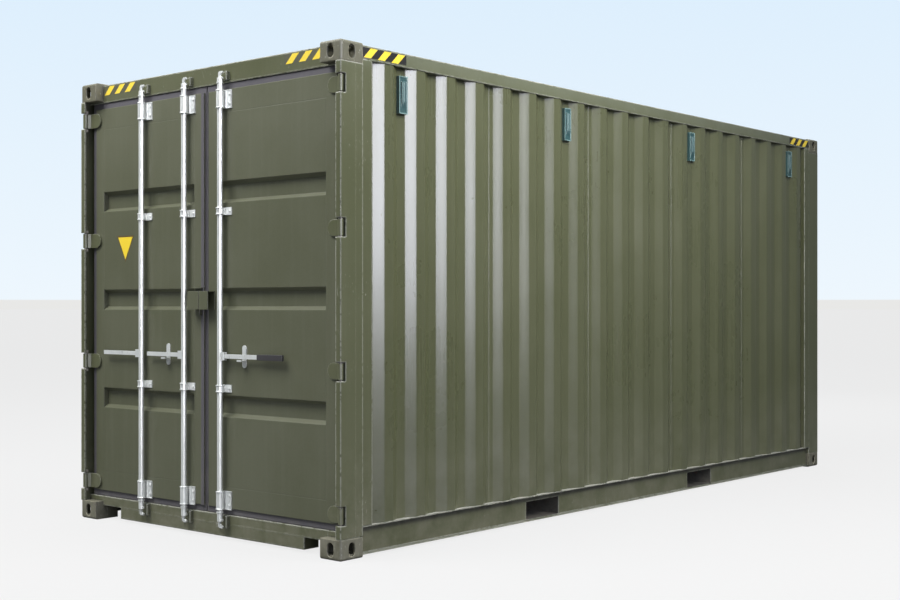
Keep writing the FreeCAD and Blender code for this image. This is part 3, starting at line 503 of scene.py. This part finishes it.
# %% [markdown]
# ## Paint that has been outdoors
# Marine paint starts as one even colour. Sun chalks it, rain draws it down in streaks, dust
# settles low, and every edge that is knocked shows primer, rust or bare steel. These effects
# are the same on a door and on a rail and differ only in amount, so each is a node group that
# we build once and reuse with other numbers.

# %% A small language for shader nodes
class Shader:
    """Short names for adding nodes to one tree and joining them."""

    def __init__(self, tree):
        self.tree = tree

    def add(self, kind, inputs=None, **settings):
        node = self.tree.nodes.new(kind)
        for key, value in settings.items():
            setattr(node, key, value)
        for key, value in (inputs or {}).items():
            self.plug(node.inputs[key], value)
        return node

    def plug(self, socket, value):
        if isinstance(value, bpy.types.NodeSocket):
            self.tree.links.new(value, socket)
        else:
            socket.default_value = value

    def math(self, operation, a, b=0.0, clamp=False):
        return self.add("ShaderNodeMath", {0: a, 1: b}, operation=operation,
                        use_clamp=clamp).outputs[0]

    def ramp(self, value, low, high, to_low=0.0, to_high=1.0):
        """Straight line from low to high, held flat outside."""
        return self.add("ShaderNodeMapRange", {"Value": value, "From Min": low, "From Max": high,
                        "To Min": to_low, "To Max": to_high}, clamp=True).outputs["Result"]

    def mix(self, share, a, b):
        node = self.add("ShaderNodeMix", data_type="RGBA")
        for index, value in ((0, share), (6, a), (7, b)):
            self.plug(node.inputs[index], value)
        return node.outputs[2]

    def noise(self, where, scale, detail=4.0, rough=0.55, stretch=None):
        if stretch:
            where = self.add("ShaderNodeVectorMath", {0: where, 1: stretch},
                             operation="MULTIPLY").outputs[0]
        return self.add("ShaderNodeTexNoise", {"Vector": where, "Scale": scale, "Detail": detail,
                        "Roughness": rough}).outputs["Fac"]


def new_group(name, inputs, outputs):
    """An empty group with named sockets; returns its tree, writer and both ends."""
    tree = bpy.data.node_groups.new(name, "ShaderNodeTree")
    for label, kind, value in inputs:
        socket = tree.interface.new_socket(label, in_out="INPUT", socket_type=kind)
        socket.default_value = value
    for label, kind in outputs:
        tree.interface.new_socket(label, in_out="OUTPUT", socket_type=kind)
    make = Shader(tree)
    return tree, make, make.add("NodeGroupInput").outputs, make.add("NodeGroupOutput").inputs


def new_material(name):
    """An empty material and its writer."""
    material = bpy.data.materials.new(name)
    material.use_nodes = True
    material.node_tree.nodes.clear()
    return material, Shader(material.node_tree)


FLOAT, COLOR, VECTOR = "NodeSocketFloat", "NodeSocketColor", "NodeSocketVector"
print("shader helpers ready")

# %% [markdown]
# ## Worn edges
# Paint goes first where a fork or a chain touches, which is on the edges. A Bevel node gives the
# normal that a rounded edge would have. Where it disagrees with the flat one there is an edge,
# and breaking that mask with noise makes it chipped instead of drawn with a ruler.

# %% Worn edges: where the rounded normal and the flat one disagree
edge_group, make, given, put = new_group(
    "worn_edges",
    [("Radius", FLOAT, 0.006), ("Amount", FLOAT, 0.5), ("Breakup", FLOAT, 28.0)],
    [("Mask", FLOAT), ("Normal", VECTOR)])
where = make.add("ShaderNodeTexCoord").outputs["Object"]
soft = make.add("ShaderNodeBevel", {"Radius": given["Radius"]}, samples=6).outputs["Normal"]
flat_normal = make.add("ShaderNodeNewGeometry").outputs["Normal"]
agree = make.add("ShaderNodeVectorMath", {0: soft, 1: flat_normal},
                 operation="DOT_PRODUCT").outputs["Value"]
edge = make.ramp(agree, 0.985, 0.86)
broken = make.noise(where, given["Breakup"], 8.0, 0.7)
limit = make.math("SUBTRACT", 0.80, make.math("MULTIPLY", given["Amount"], 0.42))
worn = make.ramp(broken, limit, make.math("ADD", limit, 0.05))
make.plug(put["Mask"], make.math("MULTIPLY", edge, worn))
make.plug(put["Normal"], soft)
print("outputs:", [socket.name for socket in edge_group.interface.items_tree])

# %% [markdown]
# ## Weather
# Chalking is slow and cloudy, rain draws it down in thin lines, and dust lies low and on the
# top of the long rails. Each is one noise with its own stretch, laid over the paint in turn, so
# that its amount can be set for one piece without touching the others.

# %% Weather: chalking, rain streaks and dust that settles low and on the top rails
weather_group, make, given, put = new_group(
    "weather",
    [("Paint", COLOR, (0.1, 0.1, 0.05, 1)), ("Chalked", COLOR, (0.16, 0.16, 0.11, 1)),
     ("Dust", COLOR, (0.3, 0.28, 0.22, 1)), ("Streaks", FLOAT, 0.4), ("Low dust", FLOAT, 0.4),
     ("High chalk", FLOAT, 0.0), ("Ledge shade", FLOAT, 0.0), ("Gloss", FLOAT, 0.38)],
    [("Color", COLOR), ("Roughness", FLOAT), ("Height", FLOAT)])
where = make.add("ShaderNodeTexCoord").outputs["Object"]
cloud = make.ramp(make.noise(where, 1.3, 5.0, 0.6), 0.38, 0.72)
fine = make.noise(where, 90.0, 3.0, 0.6)
streak = make.noise(where, 1.0, 6.0, 0.65, stretch=(26.0, 26.0, 0.9))
streak = make.math("MULTIPLY", make.ramp(streak, 0.50, 0.74), given["Streaks"])
color = make.mix(make.math("MULTIPLY", cloud, 0.35), given["Paint"], given["Chalked"])
color = make.mix(make.math("MULTIPLY", streak, 0.6), color, given["Chalked"])
color = make.mix(make.math("MULTIPLY", make.ramp(fine, 0.35, 0.65), 0.10), color,
                 given["Chalked"])
apart = make.add("ShaderNodeSeparateXYZ", {0: where}).outputs
height_z = apart["Z"]
patchy = make.ramp(make.noise(where, 7.0, 6.0, 0.65), 0.35, 0.75)
low = make.math("MULTIPLY", make.ramp(height_z, 0.75, 0.0), patchy)
low = make.math("MULTIPLY", low, given["Low dust"])
high = make.math("MULTIPLY", make.ramp(height_z, 2.74, 2.86), given["High chalk"])
high = make.math("MULTIPLY", high, make.ramp(patchy, 0, 1, 0.55, 1.0))
outward = make.ramp(make.math("ABSOLUTE", apart["X"]), 1.10, 1.20, 0.0, 1.0)
high = make.math("MULTIPLY", high, outward)
color = make.mix(high, color, (0.30, 0.33, 0.29, 1))
# Painted shadow: a near-black band on the bottom side rails just under their top lip, where the lip
# shades the rail.
ledge = make.math("MULTIPLY", make.ramp(height_z, 0.136, 0.163),
                  make.ramp(height_z, 0.1702, 0.1690))
ledge = make.math("MULTIPLY", ledge, make.math("LESS_THAN", make.math("ABSOLUTE", apart["Y"]),
                                               2.845))
ledge = make.math("MULTIPLY", ledge, given["Ledge shade"])
color = make.mix(ledge, color, (0.018, 0.017, 0.012, 1))
make.plug(put["Color"], make.mix(low, color, given["Dust"]))
rough = make.math("ADD", given["Gloss"], make.math("MULTIPLY", cloud, 0.06))
rough = make.math("ADD", rough, make.math("MULTIPLY", streak, 0.10))
make.plug(put["Roughness"], make.math("ADD", rough, make.math("MULTIPLY", low, 0.35)))
make.plug(put["Height"], make.noise(where, 260.0, 2.0, 0.5))
print("weather inputs:", len(weather_group.interface.items_tree))

# %% [markdown]
# ## Knocks
# A container is scuffed by its neighbours: short chips, longer upright scratches, and rust that
# starts in a few of them. They only gather in zones, so a broad noise decides where and a finer
# one what. The scratches run on slightly bent lines, because straight ones look combed.

# %% Knocks: pale scuffs and scratches, and rust that starts in some of them
knock_group, make, given, put = new_group(
    "knocks", [("Amount", FLOAT, 0.3), ("Rust", FLOAT, 0.3)],
    [("Scuff", FLOAT), ("Rust", FLOAT)])
where = make.add("ShaderNodeTexCoord").outputs["Object"]
zone = make.ramp(make.noise(where, 2.2, 4.0, 0.6), 0.46, 0.70)
bent = make.add("ShaderNodeTexNoise", {"Vector": where, "Scale": 5.0}).outputs["Color"]
bent = make.add("ShaderNodeVectorMath", {0: bent, 1: (0.10, 0.10, 0.0)},
                operation="MULTIPLY").outputs[0]
bent = make.add("ShaderNodeVectorMath", {0: where, 1: bent}).outputs[0]
chip = make.noise(where, 1.0, 6.0, 0.68, stretch=(60.0, 60.0, 34.0))
scratch = make.noise(bent, 1.0, 3.0, 0.5, stretch=(120.0, 120.0, 9.0))
limit = make.math("SUBTRACT", 0.80, make.math("MULTIPLY", given["Amount"], 0.20))
chips = make.math("MULTIPLY", make.ramp(chip, limit, make.math("ADD", limit, 0.03)), zone)
finer = make.math("ADD", limit, 0.035)
lines = make.math("MULTIPLY", make.ramp(scratch, finer, make.math("ADD", finer, 0.03)), zone)
lines = make.math("MULTIPLY", lines, 0.55)
make.plug(put["Scuff"], make.math("MAXIMUM", chips, lines))
spot = make.noise(where, 19.0, 8.0, 0.72)
edge_of_rust = make.math("SUBTRACT", 0.82, make.math("MULTIPLY", given["Rust"], 0.30))
make.plug(put["Rust"], make.ramp(spot, edge_of_rust, make.math("ADD", edge_of_rust, 0.07)))
print("groups:", [g.name for g in bpy.data.node_groups])

# %% [markdown]
# ## Painted steel
# Every painted piece is the same recipe: weather over the paint, knocks over the weather, and
# the undercoat on the edges. Making one function with amounts as arguments keeps walls, doors,
# rails and castings related, as they are on a container that was sprayed in one go.

# %% A painted-steel material from the groups
def painted_steel(name, paint, chalked, gloss=0.38, streaks=0.4, low_dust=0.4, wear=0.5,
                  radius=0.005, under=(0.16, 0.06, 0.03), bump=0.08, high=0.0, knocks=0.0,
                  rust=0.0, shine=0.5, scuff=(0.42, 0.42, 0.38), ledge=0.0, nooks=0.0):
    """Weathered paint over an undercoat that shows where edges are knocked. With nooks, painted
    shade darkens the colour wherever less than half of the sky can be seen from a spot."""
    material, m = new_material(name)
    weather = m.add("ShaderNodeGroup", node_tree=weather_group)
    for key, value in (("Paint", (*paint, 1)), ("Chalked", (*chalked, 1)),
                       ("Streaks", streaks), ("Low dust", low_dust), ("Gloss", gloss),
                       ("High chalk", high), ("Ledge shade", ledge)):
        weather.inputs[key].default_value = value
    edges = m.add("ShaderNodeGroup", node_tree=edge_group)
    edges.inputs["Radius"].default_value = radius
    edges.inputs["Amount"].default_value = wear
    color, worn = weather.outputs["Color"], edges.outputs["Mask"]
    if knocks or rust:
        marks = m.add("ShaderNodeGroup", node_tree=knock_group)
        marks.inputs["Amount"].default_value = knocks
        marks.inputs["Rust"].default_value = rust
        color = m.mix(marks.outputs["Scuff"], color, (*scuff, 1))
        color = m.mix(marks.outputs["Rust"], color, (0.16, 0.062, 0.03, 1))
        worn = m.math("MAXIMUM", worn, marks.outputs["Rust"])
    color = m.mix(edges.outputs["Mask"], color, (*under, 1))
    # Painted shade: the colour goes towards near black in creases and corners that see little sky.
    if nooks:
        hidden = m.add("ShaderNodeAmbientOcclusion", {"Distance": 0.02}, samples=6).outputs["AO"]
        crevice_shade = m.math("MULTIPLY", m.ramp(hidden, 0.62, 0.22), nooks)
        color = m.mix(crevice_shade, color, (0.016, 0.016, 0.011, 1))
    rough = m.ramp(worn, 0, 1, weather.outputs["Roughness"], 0.75)
    grain = m.add("ShaderNodeBump", {"Strength": bump, "Distance": 0.0008,
                  "Height": weather.outputs["Height"], "Normal": edges.outputs["Normal"]})
    surface = m.add("ShaderNodeBsdfPrincipled", {"Base Color": color, "Roughness": rough,
                    "Normal": grain.outputs[0]})
    surface.inputs["Specular IOR Level"].default_value = shine
    m.plug(m.add("ShaderNodeOutputMaterial").inputs["Surface"], surface.outputs[0])
    return material


OLIVE, OLIVE_CHALK = (0.078, 0.084, 0.040), (0.125, 0.128, 0.076)
RUBBED = (0.27, 0.27, 0.22)
paint = {
    "wall_paint": painted_steel("wall_olive", OLIVE, OLIVE_CHALK, gloss=0.27, wear=0.1,
                                shine=0.62, knocks=0.22, low_dust=0.25),
    # The frame's pale edge colour and high wear are partly worn paint and partly a painted
    # highlight along the edges, chiefly the door posts' front corners.
    "frame_paint": painted_steel("frame_olive", OLIVE, OLIVE_CHALK, gloss=0.33, wear=0.92,
                                 under=(0.38, 0.38, 0.33), high=0.20, knocks=0.72, rust=0.14,
                                 radius=0.013, low_dust=0.42, ledge=0.97, nooks=0.8),
    "door_paint": painted_steel("door_olive", (0.080, 0.084, 0.047), (0.135, 0.138, 0.096),
                                gloss=0.42, wear=0.2,
                                under=RUBBED, low_dust=0.0, knocks=0.15, nooks=0.6),
    "hinge_paint": painted_steel("hinge_olive", OLIVE, OLIVE_CHALK, gloss=0.38, wear=0.9,
                                 under=RUBBED, radius=0.004, nooks=0.9),
    "keeper_paint": painted_steel("keeper_olive", OLIVE, OLIVE_CHALK, gloss=0.40, wear=1.3,
                                  under=(0.46, 0.46, 0.43), radius=0.007, knocks=0.6,
                                  nooks=0.9),
    "roof_paint": painted_steel("roof_olive", OLIVE, OLIVE_CHALK, gloss=0.58, wear=0.3,
                                knocks=0.3, rust=0.2, shine=0.32),
    "casting_paint": painted_steel("casting_olive", (0.090, 0.088, 0.055),
                                   (0.17, 0.155, 0.11), gloss=0.50, wear=0.85, low_dust=0.55,
                                   under=(0.27, 0.25, 0.18), knocks=0.90, rust=0.36,
                                   radius=0.011, bump=0.35, nooks=0.8),
    "under_paint": painted_steel("under_wax", (0.03, 0.03, 0.028), (0.07, 0.05, 0.035),
                                 gloss=0.6, wear=0.6, rust=0.75),
    "vent_plastic": painted_steel("vent_teal", (0.019, 0.062, 0.065), (0.055, 0.115, 0.115),
                                  gloss=0.45, wear=0.95, under=(0.34, 0.44, 0.42),
                                  radius=0.004),
    "gasket_rubber": painted_steel("gasket_rubber", (0.074, 0.068, 0.078),
                                   (0.12, 0.112, 0.125), gloss=0.55, wear=0.0, low_dust=0.2),
    "grip_rubber": painted_steel("grip_rubber", (0.030, 0.028, 0.030), (0.06, 0.055, 0.06),
                                 gloss=0.45, wear=0.0),
}
weld_look = painted_steel("weld_olive", (0.115, 0.12, 0.075), (0.17, 0.17, 0.12), gloss=0.34)
trim_look = painted_steel("vent_pale_lines", (0.19, 0.31, 0.30), (0.30, 0.42, 0.40), gloss=0.5,
                          streaks=1.0, wear=0.0, low_dust=0.0)
seal_look = painted_steel("seal_mastic", (0.30, 0.30, 0.26), (0.46, 0.45, 0.41), gloss=0.5,
                          streaks=1.0, wear=0.0, low_dust=0.6, knocks=1.0,
                          scuff=(0.09, 0.085, 0.06))
film_faded = painted_steel("film_faded", (0.074, 0.073, 0.043), (0.100, 0.098, 0.064),
                           gloss=0.45, wear=0.0, low_dust=0.0, high=0.0)
film_black = painted_steel("film_black", (0.010, 0.009, 0.008), (0.032, 0.028, 0.024),
                           gloss=0.45, wear=0.0, low_dust=0.0)
film_yellow = painted_steel("film_yellow", (0.80, 0.58, 0.025), (0.74, 0.58, 0.12),
                            gloss=0.42, wear=0.0, low_dust=0.0, knocks=0.85,
                            scuff=(0.10, 0.09, 0.07))
film_edge = painted_steel("film_edge", (0.10, 0.065, 0.02), (0.14, 0.10, 0.03), gloss=0.45,
                          wear=0.0, low_dust=0.0)
print("paints:", len(paint))

# %% [markdown]
# ## Galvanised steel
# Bars, handles and brackets are dipped in zinc. It freezes in small crystals, dulls with a
# white bloom and holds grime, and it is only half a mirror. An occlusion mask finds the nooks
# and paints shade into them, and the metallic amount falls where bloom, grime and painted shade
# are.

# %% Galvanised steel for the bars and their fittings
zinc_group, make, given, put = new_group(
    "zinc", [("Tone", COLOR, (0.6, 0.6, 0.6, 1)), ("Bloom", COLOR, (0.8, 0.8, 0.78, 1)),
             ("Gloss", FLOAT, 0.34), ("Grime", FLOAT, 0.3), ("Nook shade", FLOAT, 0.7)],
    [("Color", COLOR), ("Roughness", FLOAT), ("Metallic", FLOAT), ("Height", FLOAT)])
where = make.add("ShaderNodeTexCoord").outputs["Object"]
crystal = make.add("ShaderNodeTexVoronoi", {"Vector": where, "Scale": 130.0}).outputs["Color"]
crystal = make.add("ShaderNodeSeparateXYZ", {0: crystal}).outputs["X"]
bloom = make.ramp(make.noise(where, 9.0, 5.0, 0.6), 0.40, 0.72)
grime = make.ramp(make.noise(where, 1.0, 6.0, 0.7, stretch=(60.0, 60.0, 14.0)), 0.58, 0.74)
grime = make.math("MULTIPLY", grime, given["Grime"])
# Painted shade: zinc darkened towards dark grey in the nooks that see little sky.
nook_shade = make.add("ShaderNodeAmbientOcclusion", {"Distance": 0.025}, samples=6).outputs["AO"]
nook_shade = make.math("MULTIPLY", make.ramp(nook_shade, 0.62, 0.22), given["Nook shade"])
color = make.mix(make.ramp(crystal, 0, 1, 0.0, 0.07), given["Tone"], (0.30, 0.31, 0.32, 1))
color = make.mix(make.math("MULTIPLY", bloom, 0.6), color, given["Bloom"])
color = make.mix(grime, color, (0.13, 0.11, 0.09, 1))
make.plug(put["Color"], make.mix(nook_shade, color, (0.060, 0.056, 0.048, 1)))
rough = make.math("ADD", make.math("MULTIPLY", crystal, 0.03), given["Gloss"])
make.plug(put["Roughness"], make.math("ADD", rough, make.math("MULTIPLY", bloom, 0.05)))
dull = make.math("MAXIMUM", make.math("MAXIMUM", bloom, grime), nook_shade)
make.plug(put["Metallic"], make.ramp(dull, 0, 1, 0.42, 0.30))
make.plug(put["Height"], make.noise(where, 90.0, 2.0, 0.5))


def zinc(name, tone=(0.72, 0.735, 0.72), bloom=(0.78, 0.785, 0.76), gloss=0.30, grime=0.35,
         rounded=True):
    """Zinc freezes in crystals, each a slightly different grey, and dulls with white bloom."""
    material, m = new_material(name)
    coat = m.add("ShaderNodeGroup", node_tree=zinc_group)
    for key, value in (("Tone", (*tone, 1)), ("Bloom", (*bloom, 1)), ("Gloss", gloss),
                       ("Grime", grime)):
        coat.inputs[key].default_value = value
    grain = m.add("ShaderNodeBump", {"Strength": 0.02, "Distance": 0.0003,
                  "Height": coat.outputs["Height"]})
    if rounded:
        edges = m.add("ShaderNodeGroup", node_tree=edge_group)
        edges.inputs["Radius"].default_value = 0.0025
        m.plug(grain.inputs["Normal"], edges.outputs["Normal"])
    surface = m.add("ShaderNodeBsdfPrincipled", {
        "Base Color": coat.outputs["Color"], "Roughness": coat.outputs["Roughness"],
        "Metallic": coat.outputs["Metallic"], "Normal": grain.outputs[0]})
    m.plug(m.add("ShaderNodeOutputMaterial").inputs["Surface"], surface.outputs[0])
    return material


paint["galvanised_steel"] = zinc("galvanised", grime=0.60)
tube_zinc = zinc("galvanised_tube", grime=0.15, rounded=False)
fitting_zinc = zinc("galvanised_fitting", grime=0.75, rounded=False)
paint["pin_steel"] = zinc("pin_steel", (0.30, 0.27, 0.24), (0.34, 0.31, 0.28), 0.45)
print("zinc looks:", [m.name for m in bpy.data.materials if m.name.startswith("galvanised")])

# %% [markdown]
# ## The plywood floor
# The floor is sheets of sealed plywood laid along the container and butted end to end. Its
# grain is one noise stretched many times along the sheet, its joints are thin dark lines where
# the length divides evenly, and boots and forks have worn paler tracks down the middle.

# %% Plywood with grain and joints
plywood_group, make, given, put = new_group(
    "plywood", [("Sheet", FLOAT, 2.40), ("Board", FLOAT, 0.29)],
    [("Color", COLOR), ("Roughness", FLOAT), ("Height", FLOAT)])
where = make.add("ShaderNodeTexCoord").outputs["Object"]
apart = make.add("ShaderNodeSeparateXYZ", {0: where}).outputs
grain = make.noise(where, 1.0, 8.0, 0.62, stretch=(70.0, 2.4, 70.0))
figure = make.ramp(make.noise(where, 1.0, 4.0, 0.6, stretch=(9.0, 0.7, 9.0)), 0.38, 0.66)


def joint(along, spacing, half_gap):
    """1 within half_gap of a multiple of spacing, from the triangle wave of the distance."""
    away = make.math("PINGPONG", make.math("ADD", along, 0.03), make.math("MULTIPLY", spacing, 0.5))
    return make.ramp(away, half_gap, half_gap * 0.5)


lines = make.math("MAXIMUM", joint(apart["Y"], given["Sheet"], 0.0022),
                  joint(apart["X"], given["Board"], 0.0016))
color = make.mix(make.ramp(grain, 0.40, 0.66), (0.200, 0.118, 0.062, 1), (0.335, 0.215, 0.125, 1))
color = make.mix(make.math("MULTIPLY", figure, 0.40), color, (0.150, 0.086, 0.045, 1))
track = make.ramp(make.math("ABSOLUTE", apart["X"]), 0.85, 0.30)
worn = make.math("MULTIPLY", track, make.ramp(make.noise(where, 3.0, 6.0, 0.65), 0.42, 0.72))
color = make.mix(make.math("MULTIPLY", worn, 0.45), color, (0.40, 0.33, 0.25, 1))
make.plug(put["Color"], make.mix(lines, color, (0.03, 0.022, 0.016, 1)))
make.plug(put["Roughness"], make.ramp(worn, 0, 1, 0.48, 0.66))
make.plug(put["Height"], make.math("SUBTRACT", grain, lines))

plywood_look, m = new_material("plywood_sealed")
boards = m.add("ShaderNodeGroup", node_tree=plywood_group)
relief = m.add("ShaderNodeBump", {"Strength": 0.25, "Distance": 0.001,
               "Height": boards.outputs["Height"]})
surface = m.add("ShaderNodeBsdfPrincipled", {
    "Base Color": boards.outputs["Color"], "Roughness": boards.outputs["Roughness"],
    "Normal": relief.outputs[0]})
m.plug(m.add("ShaderNodeOutputMaterial").inputs["Surface"], surface.outputs[0])
paint["plywood"] = plywood_look
print("plywood nodes:", len(plywood_group.nodes))

# %% [markdown]
# ## Which piece wears what
# The record names a material slot for every piece of the frame, so the slots decide the paint
# and nothing has to be picked by hand. Pieces that exist only here are listed with their look.

# %% Give every piece its finish
slot_of = {s["node"]: s["material_slot"] for s in frame["record"]["subparts"]}
for node_name, piece in nodes.items():
    piece.data.materials.clear()
    piece.data.materials.append(paint[slot_of[node_name]])
for sheet, slot_name in sheets:
    sheet.data.materials.append(paint[slot_name])
on_ends = [piece for piece in black_films if "_door_" in piece.name]
on_sides = [piece for piece in black_films if "_door_" not in piece.name]
for pieces, look in ((beads, weld_look), (on_sides, film_black), (on_ends, film_faded),
                     ([triangle_edge], film_edge), (yellow_films + [triangle_face], film_yellow),
                     (vents, paint["vent_plastic"]), (trims, trim_look), (seals, seal_look),
                     (tubes, tube_zinc), (rings + plates, fitting_zinc),
                     (flaps, paint["gasket_rubber"])):
    for piece in pieces:
        piece.data.materials.append(look)
print("finished pieces:", len(nodes) + len(sheets) + len(beads))

# %% [markdown]
# ## Floor
# The floor is one plain plane. Real studio paper is lit until it is nearly white, and then it
# throws so much light up that the underside glows. A material that shows itself pale to the
# eye but bounces as a mid grey keeps both: a pale floor and a dark underside.

# %% Floor
def stage_material():
    """A matt grey floor that a viewer sees lit up, so it stays pale and bounces little."""
    material, m = new_material("pale_floor")
    where = m.add("ShaderNodeTexCoord").outputs["Object"]
    away = m.add("ShaderNodeVectorMath", {0: where}, operation="LENGTH").outputs["Value"]
    speckle = m.ramp(m.noise(where, 30.0, 4.0, 0.6), 0.3, 0.7, 0.15, 0.17)
    body = m.add("ShaderNodeBsdfDiffuse", {"Color": speckle})
    glow = m.add("ShaderNodeEmission", {"Color": m.ramp(away, 4.0, 30.0, 1.012, 0.998),
                                        "Strength": 1.075})
    seen = m.math("MULTIPLY", m.add("ShaderNodeLightPath").outputs["Is Camera Ray"], 0.74)
    both = m.add("ShaderNodeMixShader", {0: seen, 1: body.outputs[0], 2: glow.outputs[0]})
    m.plug(m.add("ShaderNodeOutputMaterial").inputs["Surface"], both.outputs[0])
    return material


floor_mesh = bpy.data.meshes.new("studio_floor")
floor_mesh.from_pydata([(-900, -900, 0), (900, -900, 0), (900, 900, 0), (-900, 900, 0)], [],
                       [(0, 1, 2, 3)])
floor = bpy.data.objects.new("studio_floor", floor_mesh)
bpy.context.collection.objects.link(floor)
floor_mesh.materials.append(stage_material())
print("floor side:", floor.dimensions.x, "m")

# %% [markdown]
# ## Sky
# Outdoors the sky lights from everywhere, stronger from above. The dome does that, and what is
# seen behind the container is a paler blend of its own, so that the background can be chosen
# without changing the light on the paint.

# %% Sky
world = bpy.data.worlds.new("pale_sky")
bpy.context.scene.world = world
world.use_nodes = True
world.node_tree.nodes.clear()
w = Shader(world.node_tree)
upward = w.add("ShaderNodeSeparateXYZ", {0: w.add("ShaderNodeTexCoord").outputs["Generated"]})
backdrop = w.mix(w.ramp(upward.outputs["Z"], 0.0, 0.22), (0.855, 0.930, 0.991, 1),
                 (0.730, 0.863, 0.985, 1))
backdrop = w.mix(w.ramp(upward.outputs["Z"], 0.0052, 0.0060), (0.807, 0.807, 0.795, 1), backdrop)
dome = w.mix(w.ramp(upward.outputs["Z"], -0.05, 0.7), (0.15, 0.16, 0.17, 1),
             (0.54, 0.60, 0.66, 1))
seen = w.add("ShaderNodeLightPath").outputs["Is Camera Ray"]
shown = w.add("ShaderNodeBackground", {"Color": w.mix(seen, dome, backdrop)})
w.plug(w.add("ShaderNodeOutputWorld").inputs["Surface"], shown.outputs[0])
print("sky nodes:", len(world.node_tree.nodes))

# %% [markdown]
# ## Lamps
# Painted steel needs two kinds of light. Broad soft light from above models it: ledges get a
# bright top and a dark band beneath. And one tall bright window beside it is only there to be
# mirrored, which is what draws a bright stripe on every slope that faces the door end. The
# window stands far enough up that the stripes fade towards the ground.

# %% Lamps
def soft_box(name, place, aim, wide, tall, power, mirrored=True, lights=True, tint=(1, 1, 1)):
    """An area lamp; one that only lights, or is only mirrored, leaves out the other rays."""
    lamp = bpy.data.lights.new(name, "AREA")
    lamp.shape = "RECTANGLE"
    lamp.size, lamp.size_y, lamp.energy, lamp.color = wide, tall, power, tint
    holder = bpy.data.objects.new(name, lamp)
    holder.location = place
    way = Vector(np.array(aim, float) - np.array(place, float))
    holder.rotation_euler = way.to_track_quat("-Z", "Y").to_euler()
    holder.visible_glossy, holder.visible_diffuse = mirrored, lights
    bpy.context.collection.objects.link(holder)
    return holder


soft_box("window_beside", (9.3, -4.4, 4.4), (1.2, -3.2, 3.4), 4.4, 6.0, 1400, lights=False,
         tint=(0.91, 0.92, 1.06))
soft_box("strip_by_camera", (9.6, -11.4, 2.6), (1.2, -3.0, 1.6), 1.3, 5.0, 900, lights=False)
soft_box("sky_beside", (4.5, -1.3, 4.7), (1.2, -1.2, 1.2), 3.0, 2.5, 300, mirrored=False)
soft_box("sky_above_door", (-2.0, -7.4, 9.0), (0, -3.0, 1.5), 6.0, 4.5, 1230)
soft_box("sky_overhead", (1.0, -2.4, 9.0), (0.4, -1.4, 1.0), 6.0, 5.0, 560)
soft_box("far_fill", (-5.0, 9.0, 6.0), (0, 2.0, 1.2), 7.0, 5.0, 500)
print("lamps:", len(bpy.data.lights))

# %% [markdown]
# ## Camera
# It stands at eye height off the right corner of the door end, level, so that upright posts
# stay upright, and a small lens shift places the container without tilting anything.

# %% Camera
camera_data = bpy.data.cameras.new("camera")
camera = bpy.data.objects.new("camera", camera_data)
bpy.context.collection.objects.link(camera)
camera_data.lens, camera_data.sensor_width = 53.72, 36.0
camera_data.shift_x, camera_data.shift_y = 0.0277, 0.00854
camera_data.clip_end = 2000.0
camera.location = (6.432, -8.320, 1.406)
camera.rotation_euler = (math.radians(90), math.radians(0.0), math.radians(40.977))
bpy.context.scene.camera = camera
bpy.context.scene.view_settings.view_transform = "Standard"
print("camera height:", camera.location.z)
